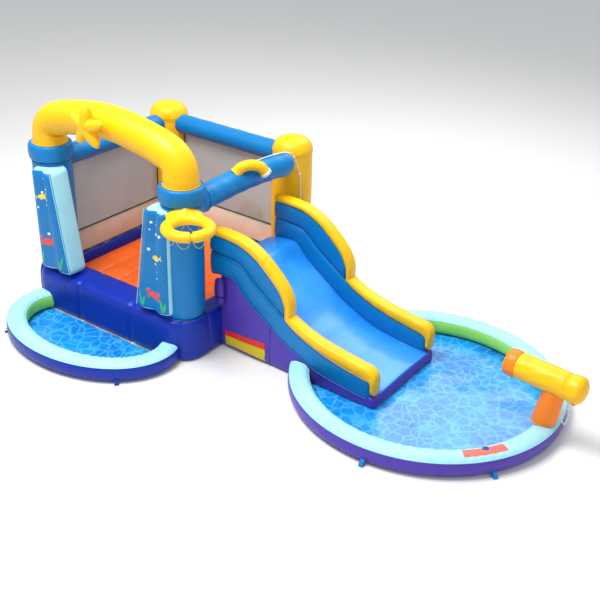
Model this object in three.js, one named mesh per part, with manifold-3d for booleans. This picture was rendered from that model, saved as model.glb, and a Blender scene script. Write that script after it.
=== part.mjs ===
// Inflatable bounce house with a slide, two paddling pools, a water cannon, a ball hoop and its blower.
// Millimetres, +Z up. The origin is on the ground under the middle of the house.
// +X points along the slide to the large pool, and the entrance faces -Y.
import * as THREE from 'three';
import { mergeVertices } from 'three/addons/utils/BufferGeometryUtils.js';
import Module from 'manifold-3d';

const wasm = await Module();
wasm.setup();

// ---- driving dimensions ----
const GAP = 0.3; // left between pieces that touch
const SKIN = 15; // wall left around the plain cavity inside a large air chamber
const PORT = 50; // radius of the air passages between chambers
const FABRIC = 3; // net, pool floor and skirt thickness

const BASE_HALF = 1060; // house footprint, half its side
const BASE_HEIGHT = 425;
const BASE_CORNER = 250;
const BASE_EDGE = 40; // rounding of the base's top and bottom edges
const FRONT_WALL = 360; // depth of the entrance bumper
const SIDE_WALL = 250;
const FLOOR_HEIGHT = 340;
const FLOOR_TUBES = 6;
const FLOOR_RISE = 16;

const FRONT_COLUMN_R = 195;
const BACK_COLUMN_R = 210;
const COLUMN_X = BASE_HALF - Math.max(FRONT_COLUMN_R + 15, BACK_COLUMN_R);
const FRONT_COLUMN_Y = -BASE_HALF + FRONT_COLUMN_R + 45;
const BACK_COLUMN_Y = BASE_HALF - BACK_COLUMN_R;
const COLLAR_R = FRONT_COLUMN_R + 20;
const COLLAR_LOW = 1575;
const COLLAR_TOP = COLLAR_LOW + 160;
const DOME_LOW = 1590;
const DOME_TOP = DOME_LOW + 158;

const RAIL_HEIGHT = COLLAR_LOW - 35;
const RAIL_R = 105;
const RIGHT_RAIL_R = 122;
const ARCH_R = 165;
const ARCH_TOP = COLLAR_TOP + 377; // centreline

const SKIRT_TOP = BASE_HEIGHT + 265;
const PANEL_OUTER_X = COLUMN_X + 10;
const PANEL_TOP_X = COLUMN_X - FRONT_COLUMN_R - 40;
const PANEL_FOOT_X = COLUMN_X - FRONT_COLUMN_R - 205;
const PANEL_FRONT = -BASE_HALF - 30;
const PANEL_BACK = FRONT_COLUMN_Y - 10;
const PANEL_LOW = BASE_HEIGHT + 45;
const PANEL_TOP = COLLAR_LOW - 40;

const STAR_ARM = 212;
const STAR_WAIST = 92;
const STAR_DEPTH = 120;
const STAR_SHIFT = -28; // of its centre along X
const STAR_RISE = 15; // of its centre above the arch's centreline

const SLIDE_HALF = 557; // half its width over the side walls
const SLIDE_WALL = 112;
const SLIDE_START = BASE_HALF - 130;
const SLIDE_LENGTH = 1900;
const SLIDE_END = SLIDE_START + SLIDE_LENGTH;
const BED_DEPTH = 90;

const RING_WIDTH = 203;
const RING_HEIGHT = 200;
const BIG_POOL = { x: SLIDE_END + 225, y: 0, halfLength: 1285, halfWidth: 1258 };
const SMALL_POOL = { x: 0, y: -BASE_HALF - 149, halfLength: 961, halfWidth: 708 };

const HOOP_R = 190;
const HOOP_TUBE = 45;
const HOOP_HEIGHT = RAIL_HEIGHT - 40;
const HOOP_REACH = 5; // gap from the ring to the column
const HOOP_TURN = new THREE.Vector2(0.76, -0.65);

const POST_R = 112; // at its foot
const POST_NECK_R = 100; // at its top, and of the neck under the barrel
const POST_LEAN = 51; // from its foot to its top, away from the pool
const CANNON_R = 118;
const CANNON_HEIGHT = 620;
const CANNON_FRONT = 465; // from the post's axis to the barrel's front
const CANNON_BACK = 275;
const CANNON_AIM = 174.6; // degrees from +X, seen from above
const MUZZLE_R = 124;
const MUZZLE_LENGTH = 115;

const HOSE_R = 6;
const SPRINKLER_R = 54;

const SLEEVE_LENGTH = 350; // from the base to the blower's mouth
const OUTLET_R = 62;
const OUTLET_LENGTH = 240;
const SLEEVE_R = OUTLET_R + 6;
const SLEEVE_HEIGHT = 170; // of its seam on the house
const BLOWER_X = -350;
const BLOWER_Y = BASE_HALF + SLEEVE_LENGTH + OUTLET_LENGTH;
const VOLUTE_R = 175;
const BLOWER_AXIS = VOLUTE_R + 60;
const OUTLET_HEIGHT = BLOWER_AXIS - VOLUTE_R + OUTLET_R - 12;
const HALF_DEPTH = 85;
const CASING = 6;
const INTAKE_R = 85;
const IMPELLER_R = INTAKE_R + 37;
const SHAFT_R = 6;
const BOSSES = 8;

// ---- materials ----
const paint = (color, roughness = 0.45) => new THREE.MeshStandardMaterial({ color, roughness, metalness: 0 });
const SKY = paint(0x1e8fd6);
const ROYAL = paint(0x1a3fae);
const AQUA = paint(0xa2dde9);
const YELLOW = paint(0xf6cc22);
const PURPLE = paint(0x6550bb);
const ORANGE = paint(0xff8233);
const NET = paint(0xbbbbbb, 0.9);
const BEIGE = paint(0xd8d0be, 0.8);
const POOL = paint(0x22a7ee, 0.35);
const BED = paint(0x3a92ee, 0.35);
const CLEAR = paint(0xe3edf0, 0.2);
const WHITE = paint(0xf2f2ee, 0.4);
const LIME = paint(0xdcd650, 0.35);
const GREEN = paint(0x3fbf5a, 0.4);
const BLACK = paint(0x1c1c1e, 0.5);
const STEEL = new THREE.MeshStandardMaterial({ color: 0xb9bcc0, roughness: 0.3, metalness: 1 });

const house = new THREE.Group();

// ---- solids ----
// A closed geometry as a manifold solid: shared corners merged, slivers dropped, faces turned outward.
function solid(geometry) {
  const bare = geometry.index ? geometry.toNonIndexed() : geometry.clone();
  bare.deleteAttribute('normal');
  bare.deleteAttribute('uv');
  const merged = mergeVertices(bare, 0.01);
  const points = merged.attributes.position.array;
  const triangles = [];
  let volume = 0;
  for (let i = 0; i < merged.index.count; i += 3) {
    const corner = [0, 1, 2].map((k) => merged.index.array[i + k]);
    if (new Set(corner).size < 3) continue;
    triangles.push(...corner);
    const [a, b, c] = corner.map((k) => new THREE.Vector3().fromArray(points, 3 * k));
    volume += a.dot(b.cross(c));
  }
  if (volume < 0) triangles.reverse();
  const mesh = new wasm.Mesh({ numProp: 3, vertProperties: points, triVerts: new Uint32Array(triangles) });
  return new wasm.Manifold(mesh);
}

// Adds one named piece to the house.
function piece(name, shape, material) {
  const mesh = shape.getMesh();
  const geometry = new THREE.BufferGeometry();
  geometry.setAttribute('position', new THREE.BufferAttribute(new Float32Array(mesh.vertProperties), 3));
  geometry.setIndex(new THREE.BufferAttribute(new Uint32Array(mesh.triVerts), 1));
  geometry.computeVertexNormals();
  const named = new THREE.Mesh(geometry, material);
  named.name = name;
  house.add(named);
}

function box(low, high) {
  const geometry = new THREE.BoxGeometry(high[0] - low[0], high[1] - low[1], high[2] - low[2]);
  geometry.translate((low[0] + high[0]) / 2, (low[1] + high[1]) / 2, (low[2] + high[2]) / 2);
  return solid(geometry);
}

function flatShape(points) {
  return new THREE.Shape(points.map(([u, v]) => new THREE.Vector2(u, v)));
}

// An outline in plan, raised from one height to another.
function raised(shape, low, high, edge = 0) {
  const geometry = new THREE.ExtrudeGeometry(shape, {
    depth: high - low - 2 * edge,
    bevelEnabled: edge > 0,
    bevelSize: edge,
    bevelThickness: edge,
    bevelOffset: -edge,
    bevelSegments: 2,
    curveSegments: 5,
  });
  geometry.translate(0, 0, low + edge);
  return solid(geometry);
}

// An outline of (x, z) points, drawn from one y to another.
function across(points, low, high) {
  const geometry = new THREE.ExtrudeGeometry(flatShape(points), { depth: high - low, bevelEnabled: false });
  geometry.rotateX(Math.PI / 2);
  geometry.translate(0, high, 0);
  return solid(geometry);
}

// A profile of (radius, height) points turned about +Z.
function turned(profile, segments = 16) {
  const geometry = new THREE.LatheGeometry(profile.map(([r, z]) => new THREE.Vector2(r, z)), segments);
  geometry.rotateX(Math.PI / 2);
  return solid(geometry);
}

function cylinder(radius, low, high, segments = 16) {
  return turned([[0, low], [radius, low], [radius, high], [0, high]], segments);
}

// A tube of one radius along a curve, closed at both ends.
function tube(curve, radius, steps, sides = 12) {
  const section = new THREE.Shape();
  section.absarc(0, 0, radius, 0, 2 * Math.PI);
  const outline = new THREE.Shape(section.getPoints(sides / 2).slice(0, sides));
  return solid(new THREE.ExtrudeGeometry(outline, { steps, extrudePath: curve, bevelEnabled: false }));
}

function through(points) {
  return new THREE.CatmullRomCurve3(points.map((p) => new THREE.Vector3(...p)), false, 'centripetal');
}

function along(from, to) {
  return new THREE.LineCurve3(new THREE.Vector3(...from), new THREE.Vector3(...to));
}

// ---- base: four sewn walls round a bouncing floor ----
const inner = BASE_HALF - SIDE_WALL;
const frontInner = -BASE_HALF + FRONT_WALL;

function baseOutline(grow = 0) {
  const half = BASE_HALF + grow;
  const corner = BASE_CORNER + grow;
  const shape = new THREE.Shape();
  shape.moveTo(-half + corner, -half);
  shape.lineTo(half - corner, -half);
  shape.absarc(half - corner, -half + corner, corner, -Math.PI / 2, 0);
  shape.lineTo(half, half - corner);
  shape.absarc(half - corner, half - corner, corner, 0, Math.PI / 2);
  shape.lineTo(-half + corner, half);
  shape.absarc(-half + corner, half - corner, corner, Math.PI / 2, Math.PI);
  shape.lineTo(-half, -half + corner);
  shape.absarc(-half + corner, -half + corner, corner, Math.PI, 1.5 * Math.PI);
  return shape;
}

const wholeBase = raised(baseOutline(), 0, BASE_HEIGHT, BASE_EDGE);
const REACH = BASE_HALF + 100;
const cavityLow = SKIN + 8;
const cavityHigh = BASE_HEIGHT - SKIN - 8;
const cornerClear = BASE_HALF - BASE_CORNER + 90;

function passage(x, y, low, high) {
  return cylinder(PORT, low, high, 8).translate([x, y, 0]);
}

function sidePassage(x, from, to, height, radius = PORT) {
  return tube(along([x, from, height], [x, to, height]), radius, 1, 8);
}

function crossPassage(from, to) {
  return tube(along([from, 0, BASE_HEIGHT / 3], [to, 0, BASE_HEIGHT / 3]), PORT, 1, 8);
}

const frontCavity = box([-cornerClear, -BASE_HALF + SKIN, cavityLow],
  [cornerClear, frontInner - SKIN, cavityHigh]);
let frontWall = wholeBase.intersect(box([-REACH, -REACH, -1], [REACH, frontInner, BASE_HEIGHT + 1]));
frontWall = frontWall.subtract(frontCavity);
frontWall = frontWall.subtract(sidePassage(0, frontInner - SKIN - 10, frontInner + 10, BASE_HEIGHT / 3));
for (const side of [-1, 1]) {
  frontWall = frontWall.subtract(passage(side * COLUMN_X, FRONT_COLUMN_Y, cavityHigh - 10, BASE_HEIGHT + 10));
}
piece('base_front_wall', frontWall, ROYAL);

const backCavity = box([-cornerClear, inner + SKIN, cavityLow],
  [cornerClear, BASE_HALF - SKIN, cavityHigh]);
let backWall = wholeBase.intersect(box([-REACH, inner, -1], [REACH, REACH, BASE_HEIGHT + 1]));
backWall = backWall.subtract(backCavity);
backWall = backWall.subtract(sidePassage(0, inner - 10, inner + SKIN + 10, BASE_HEIGHT / 3));
const sleeveHole = sidePassage(BLOWER_X, BASE_HALF - SKIN - 10, BASE_HALF + 10, SLEEVE_HEIGHT, SLEEVE_R - 8);
backWall = backWall.subtract(sleeveHole);
for (const side of [-1, 1]) {
  const foot = side * (COLUMN_X - 20);
  backWall = backWall.subtract(passage(foot, BACK_COLUMN_Y + 60, cavityHigh - 10, BASE_HEIGHT + 10));
}
piece('base_back_wall', backWall, ROYAL);

for (const [name, side] of [['base_left_wall', -1], ['base_right_wall', 1]]) {
  const [near, far] = side < 0 ? [-REACH, -inner] : [inner, REACH];
  const hollowNear = side < 0 ? -BASE_HALF + SKIN : inner + SKIN;
  const hollowFar = side < 0 ? -inner - SKIN : BASE_HALF - SKIN;
  let wall = wholeBase.intersect(box([near, frontInner + GAP, -1], [far, inner - GAP, BASE_HEIGHT + 1]));
  wall = wall.subtract(box([hollowNear, frontInner + SKIN, cavityLow], [hollowFar, inner - SKIN, cavityHigh]));
  piece(name, wall.subtract(crossPassage(side * (inner - 10), side * (inner + SKIN + 10))), ROYAL);
}

// The floor is a row of tubes side by side, sewn to the walls.
function floorOutline() {
  const half = inner - GAP;
  const pitch = (2 * half) / FLOOR_TUBES;
  const points = [[-half, 0], [half, 0]];
  for (let i = FLOOR_TUBES - 1; i >= 0; i -= 1) {
    for (let k = 4; k >= 0; k -= 1) {
      const share = k / 4;
      const rise = FLOOR_RISE * Math.sin(Math.PI * share);
      const point = [-half + pitch * (i + share), FLOOR_HEIGHT - FLOOR_RISE + rise];
      if (k < 4 || i === FLOOR_TUBES - 1) points.push(point);
    }
  }
  return points;
}
let floor = across(floorOutline(), frontInner + GAP, inner - GAP);
const floorCavityTop = FLOOR_HEIGHT - FLOOR_RISE - SKIN;
const floorCavity = box([-inner + SKIN, frontInner + SKIN, SKIN], [inner - SKIN, inner - SKIN, floorCavityTop]);
floor = floor.subtract(floorCavity);
floor = floor.subtract(sidePassage(0, frontInner - 10, frontInner + SKIN + 10, BASE_HEIGHT / 3));
floor = floor.subtract(sidePassage(0, inner - SKIN - 10, inner + 10, BASE_HEIGHT / 3));
for (const side of [-1, 1]) {
  floor = floor.subtract(crossPassage(side * (inner - SKIN - 10), side * (inner + 10)));
}
piece('bounce_floor', floor, ORANGE);

// ---- columns ----
const columnFoot = BASE_HEIGHT + GAP;

function frontColumn(side, grow = 0) {
  const r = FRONT_COLUMN_R + grow;
  const c = COLLAR_R + grow;
  const low = columnFoot - grow;
  return turned([
    [0, low], [r - 10, low], [r, low + 25], [r, COLLAR_LOW - 25], [r - 6, COLLAR_LOW - 5],
    [c - 8, COLLAR_LOW + 15], [c, COLLAR_LOW + 45], [c, COLLAR_TOP - 45], [c - 12, COLLAR_TOP - 12],
    [c - 40, COLLAR_TOP + grow], [0, COLLAR_TOP + grow],
  ]).translate([side * COLUMN_X, FRONT_COLUMN_Y, 0]);
}

function backColumn(side, grow = 0) {
  const r = BACK_COLUMN_R + grow;
  const low = columnFoot - grow;
  const profile = [[0, low], [r - 10, low], [r, low + 25], [r, DOME_LOW]];
  for (let k = 1; k < 5; k += 1) {
    const angle = (k / 5) * (Math.PI / 2);
    profile.push([r * Math.cos(angle) ** 0.6, DOME_LOW + (DOME_TOP + grow - DOME_LOW) * Math.sin(angle)]);
  }
  profile.push([0, DOME_TOP + grow]);
  return turned(profile).translate([side * COLUMN_X, BACK_COLUMN_Y, 0]);
}

function columnCavity(radius, top, x, y) {
  return cylinder(radius - SKIN, columnFoot + SKIN, top - SKIN, 12).translate([x, y, 0]);
}

for (const [name, side] of [['front_left_column', -1], ['front_right_column', 1]]) {
  const x = side * COLUMN_X;
  let column = frontColumn(side).subtract(columnCavity(FRONT_COLUMN_R, COLLAR_TOP, x, FRONT_COLUMN_Y));
  column = column.subtract(passage(x, FRONT_COLUMN_Y, columnFoot - 10, columnFoot + SKIN));
  piece(name, column, SKY);
}
for (const [name, side] of [['back_left_column', -1], ['back_right_column', 1]]) {
  const x = side * COLUMN_X;
  const port = passage(side * (COLUMN_X - 20), BACK_COLUMN_Y + 60, columnFoot - 10, columnFoot + SKIN);
  const column = backColumn(side).subtract(columnCavity(BACK_COLUMN_R, DOME_LOW, x, BACK_COLUMN_Y));
  piece(name, column.subtract(port), YELLOW);
}

// ---- arch over the entrance, and the star sewn to its front ----
function arch(grow = 0) {
  const rise = ARCH_TOP - COLLAR_TOP;
  const half = [[COLUMN_X, 0], [COLUMN_X - 2, 0.16], [COLUMN_X - 36, 0.39], [COLUMN_X - 115, 0.59],
    [COLUMN_X - 250, 0.75], [COLUMN_X - 450, 0.885], [COLUMN_X - 650, 0.97]];
  const height = (share) => COLLAR_TOP + GAP + rise * share;
  const right = half.map(([x, share]) => [x, FRONT_COLUMN_Y, height(share)]);
  const left = half.map(([x, share]) => [-x, FRONT_COLUMN_Y, height(share)]).reverse();
  const steps = grow < 0 ? 14 : 22;
  const sides = grow < 0 ? 6 : 12;
  const whole = tube(through([...right, [0, FRONT_COLUMN_Y, height(1)], ...left]), ARCH_R + grow, steps, sides);
  return whole.subtract(frontColumn(-1, GAP)).subtract(frontColumn(1, GAP));
}
piece('entrance_arch', arch().subtract(arch(-2 * SKIN)), YELLOW);

function starShape() {
  const points = [];
  for (let i = 0; i < 5; i += 1) {
    const arm = Math.PI / 2 + (i * 2 * Math.PI) / 5;
    for (const corner of [arm - 0.17, arm + 0.17]) {
      points.push([STAR_ARM * Math.cos(corner), STAR_ARM * Math.sin(corner)]);
    }
    const waist = arm + Math.PI / 5;
    points.push([STAR_WAIST * Math.cos(waist), STAR_WAIST * Math.sin(waist)]);
  }
  return flatShape(points);
}
const starEdge = STAR_DEPTH / 3;
const starBody = new THREE.ExtrudeGeometry(starShape(), {
  depth: STAR_DEPTH - 2 * starEdge, bevelSize: starEdge / 2, bevelThickness: starEdge, bevelSegments: 2,
});
starBody.translate(0, 0, -STAR_DEPTH / 2 + starEdge);
starBody.rotateX(Math.PI / 2);
starBody.translate(STAR_SHIFT, FRONT_COLUMN_Y - ARCH_R - 90, ARCH_TOP + STAR_RISE);
piece('star_figure', solid(starBody).subtract(arch(GAP)), YELLOW);

// ---- top rails ----
function rail(curve, radius, steps) {
  let bar = tube(curve, radius, steps, 12);
  for (const side of [-1, 1]) bar = bar.subtract(frontColumn(side, GAP)).subtract(backColumn(side, GAP));
  return bar;
}
const leftLine = along([-COLUMN_X, FRONT_COLUMN_Y, RAIL_HEIGHT], [-COLUMN_X, BACK_COLUMN_Y, RAIL_HEIGHT]);
piece('left_rail', rail(leftLine, RAIL_R, 1).subtract(tube(leftLine, RAIL_R - SKIN, 1, 8)), SKY);
const backLine = along([-COLUMN_X, BACK_COLUMN_Y, RAIL_HEIGHT], [COLUMN_X, BACK_COLUMN_Y, RAIL_HEIGHT]);
piece('back_rail', rail(backLine, RAIL_R, 1).subtract(tube(backLine, RAIL_R - SKIN, 1, 8)), SKY);

// The right rail rises to the back, bows outward and ends in a round cap beside the back column.
const railEndHeight = RAIL_HEIGHT + 20;
const railFrontHeight = RAIL_HEIGHT - 25;

function rightRail(grow = 0) {
  const radius = RIGHT_RAIL_R + grow;
  const end = [COLUMN_X + 112, BACK_COLUMN_Y - 320, railEndHeight];
  const line = through([[COLUMN_X, FRONT_COLUMN_Y, railFrontHeight],
    [COLUMN_X, FRONT_COLUMN_Y + 420, railFrontHeight + 5],
    [COLUMN_X + 5, BACK_COLUMN_Y - 900, RAIL_HEIGHT - 5],
    [COLUMN_X + 45, BACK_COLUMN_Y - 590, RAIL_HEIGHT + 10], end]);
  const cap = new THREE.SphereGeometry(radius * 0.995, 12, 8);
  cap.translate(...end);
  let bar = tube(line, radius, 10, 12).add(solid(cap));
  bar = bar.subtract(frontColumn(1, GAP)).subtract(backColumn(1, GAP));
  return bar;
}
const rightHollow = along([COLUMN_X - 5, FRONT_COLUMN_Y, railFrontHeight],
  [COLUMN_X + 5, BACK_COLUMN_Y - 700, RAIL_HEIGHT]);
const railHollow = tube(rightHollow, RIGHT_RAIL_R - 2.5 * SKIN, 1, 8);
piece('right_rail', rightRail().subtract(railHollow), SKY);

// ---- net walls over fabric skirts, on the left and at the back ----
const netLow = SKIRT_TOP + GAP;
const netHigh = RAIL_HEIGHT - RAIL_R - GAP;
const leftFrom = FRONT_COLUMN_Y + FRONT_COLUMN_R + GAP;
const leftTo = BACK_COLUMN_Y - BACK_COLUMN_R - GAP;
const backHalf = COLUMN_X - BACK_COLUMN_R - GAP;
const thin = FABRIC / 2;
const leftSheet = (low, high) => box([-COLUMN_X - thin, leftFrom, low], [-COLUMN_X + thin, leftTo, high]);
const backLow = BACK_COLUMN_Y - thin;
const backSheet = (low, high) => box([-backHalf, backLow, low], [backHalf, backLow + FABRIC, high]);
piece('left_net', leftSheet(netLow, netHigh), NET);
piece('left_net_skirt', leftSheet(columnFoot, SKIRT_TOP), BEIGE);
piece('back_net', backSheet(netLow, netHigh), NET);
piece('back_net_skirt', backSheet(columnFoot, SKIRT_TOP), BEIGE);

// ---- printed panels in front of the two front columns ----
function panel(side) {
  const outline = [[PANEL_FOOT_X, PANEL_LOW], [PANEL_OUTER_X, PANEL_LOW], [PANEL_OUTER_X, PANEL_TOP],
    [PANEL_TOP_X, PANEL_TOP]];
  const points = outline.map(([x, z]) => [side * x, z]);
  const block = across(points, PANEL_FRONT, PANEL_BACK);
  return block.subtract(frontColumn(side, GAP));
}

// The panel's cavity lies in front of the column, and opens through a port at the column's side.
function panelCavity(side) {
  const columnFront = FRONT_COLUMN_Y - FRONT_COLUMN_R - SKIN;
  const outline = [[PANEL_FOOT_X + SKIN, PANEL_LOW + SKIN], [PANEL_OUTER_X - SKIN, PANEL_LOW + SKIN],
    [PANEL_OUTER_X - SKIN, PANEL_TOP - SKIN], [PANEL_TOP_X + SKIN, PANEL_TOP - SKIN]];
  const front = across(outline.map(([x, z]) => [side * x, z]), PANEL_FRONT + SKIN, columnFront);
  const edge = COLUMN_X - FRONT_COLUMN_R - SKIN;
  const beside = across([[PANEL_FOOT_X + SKIN, PANEL_LOW + SKIN], [edge, PANEL_LOW + SKIN],
    [edge, PANEL_TOP - SKIN], [PANEL_TOP_X + SKIN, PANEL_TOP - SKIN]].map(([x, z]) => [side * x, z]),
  columnFront - SKIN, PANEL_BACK - SKIN);
  const middle = (PANEL_LOW + PANEL_TOP) / 2;
  const x = side * COLUMN_X;
  const toColumn = along([x, columnFront - 10, middle], [x, columnFront + 60, middle]);
  return front.add(beside).add(tube(toColumn, PORT, 1, 8));
}
piece('front_left_panel', panel(-1).subtract(panelCavity(-1)), SKY);
piece('front_right_panel', panel(1).subtract(panelCavity(1)), SKY);

// ---- pools ----
function poolRing(pool, inset = 0, sides = 10, segments = 36) {
  const mid = (pool.halfLength + pool.halfWidth) / 2 - RING_WIDTH / 2;
  const profile = [];
  for (let k = 0; k < sides; k += 1) {
    const angle = (k / sides) * 2 * Math.PI;
    const c = Math.cos(angle);
    const s = Math.sin(angle);
    profile.push([mid + (RING_WIDTH / 2 - inset) * Math.sign(c) * Math.abs(c) ** 0.75,
      FABRIC + GAP + RING_HEIGHT / 2 + (RING_HEIGHT / 2 - inset) * Math.sign(s) * Math.abs(s) ** 0.75]);
  }
  profile.push(profile[0]);
  const geometry = new THREE.LatheGeometry(profile.map(([r, z]) => new THREE.Vector2(r, z)), segments);
  geometry.rotateX(Math.PI / 2);
  geometry.scale((pool.halfLength - RING_WIDTH / 2) / mid, (pool.halfWidth - RING_WIDTH / 2) / mid, 1);
  geometry.translate(pool.x, pool.y, 0);
  return solid(geometry);
}

function poolFloor(pool) {
  const plate = new THREE.CylinderGeometry(1, 1, FABRIC, 36);
  plate.rotateX(Math.PI / 2);
  plate.scale(pool.halfLength - RING_WIDTH / 2, pool.halfWidth - RING_WIDTH / 2, 1);
  plate.translate(pool.x, pool.y, FABRIC / 2);
  return solid(plate);
}

const baseSpace = raised(baseOutline(GAP), -10, BASE_HEIGHT + 10);
const behindEntrance = box([-REACH, -BASE_HALF + BASE_CORNER, -10], [REACH, REACH, BASE_HEIGHT]);
const frontSpace = baseSpace.add(behindEntrance);
const smallRing = poolRing(SMALL_POOL).subtract(poolRing(SMALL_POOL, SKIN + 12, 6, 30));
piece('small_pool_ring', smallRing.subtract(frontSpace), AQUA);
piece('small_pool_floor', poolFloor(SMALL_POOL).subtract(frontSpace), POOL);

const slideSpace = box([SLIDE_START, -SLIDE_HALF - GAP, -10],
  [SLIDE_END + GAP, SLIDE_HALF + GAP, 2 * RING_HEIGHT]);
const bigRing = poolRing(BIG_POOL).subtract(poolRing(BIG_POOL, SKIN + 12, 6, 30));
piece('big_pool_ring', bigRing.subtract(slideSpace), AQUA);
piece('big_pool_floor', poolFloor(BIG_POOL).subtract(slideSpace), POOL);

// ---- slide: a purple base, a bed in its channel, and two stacked tubes on each side under a yellow cap ----
// Every line is a list of (x, z) points from the house to the pool, x as a share of the slide's length.
const onSlide = (line) => line.map(([share, z]) => [SLIDE_START + share * SLIDE_LENGTH, z]);
const STEP = 0.476; // where the tall side walls end
const bedLine = onSlide([[0, 815], [0.079, 843], [0.155, 835], [0.224, 705], [0.363, 515], [0.455, 392],
  [0.545, 305], [0.661, 215], [0.837, 158], [1, 135]]);
const creaseLine = onSlide([[0, 1005], [0.1, 995], [0.197, 960], [0.295, 805], [STEP - 0.002, 575]]);
const capFoot = onSlide([[0, 1190], [0.089, 1190], [0.195, 1168], [0.284, 1098], [0.366, 978], [0.442, 830],
  [STEP - 0.006, 710], [STEP, 572]]);
const capTop = onSlide([[0, 1246], [0.1, 1246], [0.211, 1226], [0.305, 1152], [0.384, 1040], [0.466, 880],
  [STEP + 0.024, 740], [STEP + 0.026, 612]]);
const lowCapFoot = onSlide([[STEP, 572], [0.54, 498], [0.607, 440], [0.674, 392], [0.74, 357], [0.833, 320],
  [0.932, 290], [0.971, 270], [0.974, 150]]);
const lowCapTop = onSlide([[STEP + 0.026, 612], [0.596, 530], [0.696, 476], [0.8, 441], [0.905, 415],
  [0.974, 395], [1, 330], [1, 150]]);
const shift = (line, dz, dx = 0) => line.map(([x, z]) => [x + dx, z + dz]);
const back = (line) => [...line].reverse();
const bank = SLIDE_HALF - SLIDE_WALL;

const houseSide = BASE_HALF + GAP;
const underside = [[houseSide, 0], [houseSide, columnFoot], [SLIDE_START, columnFoot]];
const wideLine = [[SLIDE_END, 0], ...back(shift(bedLine, -GAP)), ...back(underside)];
const wideBase = across(wideLine, -SLIDE_HALF, SLIDE_HALF);
const channelLine = shift(bedLine, -BED_DEPTH).map(([x, z]) => [x, Math.max(z, 50)]);
const above = 1200; // higher than every slide piece that the cuts below go through
const channel = across([[SLIDE_START - 5, above], [SLIDE_START - 5, channelLine[0][1]], ...channelLine,
  [SLIDE_END + 5, 50], [SLIDE_END + 5, above]], -bank, bank);
let slideBase = wideBase.subtract(channel);
const hollowLine = shift(bedLine.slice(1, 8), -BED_DEPTH - 2 * SKIN);
hollowLine[0][0] = houseSide + SKIN;
const wedgeEnd = hollowLine[hollowLine.length - 1][0];
const wedgeLine = [[houseSide + SKIN, SKIN], [wedgeEnd, SKIN], ...back(hollowLine)];
slideBase = slideBase.subtract(across(wedgeLine, -SLIDE_HALF + SKIN, SLIDE_HALF - SKIN));
const slidePort = along([houseSide - 10, 300, BASE_HEIGHT / 3], [houseSide + SKIN + 10, 300, BASE_HEIGHT / 3]);
slideBase = slideBase.subtract(tube(slidePort, PORT, 1, 8));
piece('slide_base', slideBase, PURPLE);

const bedFoot = shift(channelLine, GAP);
const bedBody = across([...bedFoot, ...back(bedLine)], -bank + GAP, bank - GAP);
const bedInside = shift(bedLine.slice(0, 8), -SKIN).map(([x, z], i) => (i === 0 ? [x + SKIN, z] : [x, z]));
const bedHollowLine = [...shift(bedInside, -BED_DEPTH + 2 * SKIN + 10), ...back(bedInside)];
const bedHollow = across(bedHollowLine, -bank + SKIN, bank - SKIN);
const bedPort = passage(houseSide + 90, 0, bedLine[1][1] - BED_DEPTH - 50, bedLine[1][1] - BED_DEPTH / 2);
piece('slide_bed', bedBody.subtract(bedHollow).subtract(bedPort), BED);

const lowWallTop = shift([...creaseLine, ...lowCapFoot], -GAP, -GAP);
const wallEnd = lowCapFoot[lowCapFoot.length - 1][0] - GAP;
const lowWall = [...bedLine.slice(0, -1), [wallEnd, 142], ...back(lowWallTop)];
const highWall = [...creaseLine, ...back(shift(capFoot.slice(0, -1), -GAP, -GAP))];
const cap = [...capFoot, ...lowCapFoot.slice(1), ...back(lowCapTop), ...back(capTop).slice(1)];
for (const [name, low, high] of [['near', -SLIDE_HALF, -bank], ['far', bank, SLIDE_HALF]]) {
  piece(`${name}_lower_wall`, across(lowWall, low, high), SKY);
  piece(`${name}_upper_wall`, across(highWall, low, high), SKY);
  piece(`${name}_wall_cap`, across(cap, low, high), YELLOW);
}

// ---- water cannon on the far rim of the large pool ----
const aim = THREE.MathUtils.degToRad(CANNON_AIM);
const muzzleWay = new THREE.Vector2(Math.cos(aim), Math.sin(aim));
const postX = BIG_POOL.x + BIG_POOL.halfLength - RING_WIDTH / 2 - 32;
const pivot = new THREE.Vector2(postX + POST_LEAN, BIG_POOL.y);

function onBarrel(distance, height = CANNON_HEIGHT) {
  return [pivot.x + muzzleWay.x * distance, pivot.y + muzzleWay.y * distance, height];
}

// A profile of (radius, distance) points turned about the barrel's axis.
function onBarrelAxis(profile) {
  const geometry = new THREE.LatheGeometry(profile.map(([r, d]) => new THREE.Vector2(r, d)), 16);
  geometry.rotateX(Math.PI / 2);
  geometry.rotateY(Math.PI / 2);
  geometry.rotateZ(aim);
  geometry.translate(pivot.x, pivot.y, CANNON_HEIGHT);
  return solid(geometry);
}

// The barrel, with the neck under it that turns on the post.
const rimTop = FABRIC + GAP + RING_HEIGHT;
const neckFoot = CANNON_HEIGHT - CANNON_R - 30;
const swell = CANNON_R + 6;
const barrelBody = onBarrelAxis([[0, -CANNON_BACK], [CANNON_R - 35, -CANNON_BACK], [swell, -CANNON_BACK + 40],
  [swell, -CANNON_BACK + 120], [CANNON_R, -CANNON_BACK + 160], [CANNON_R, CANNON_FRONT - MUZZLE_LENGTH],
  [0, CANNON_FRONT - MUZZLE_LENGTH]]);
const neck = cylinder(POST_NECK_R, neckFoot, CANNON_HEIGHT).translate([pivot.x, pivot.y, 0]);
piece('cannon_barrel', barrelBody.add(neck), YELLOW);
const muzzleFoot = CANNON_FRONT - MUZZLE_LENGTH + GAP;
piece('cannon_muzzle', onBarrelAxis([[0, muzzleFoot], [MUZZLE_R - 12, muzzleFoot], [MUZZLE_R, muzzleFoot + 12],
  [MUZZLE_R, CANNON_FRONT - 12], [MUZZLE_R - 12, CANNON_FRONT], [MUZZLE_R - 32, CANNON_FRONT],
  [MUZZLE_R - 38, CANNON_FRONT - 50], [0, CANNON_FRONT - 50]]), ORANGE);

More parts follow.
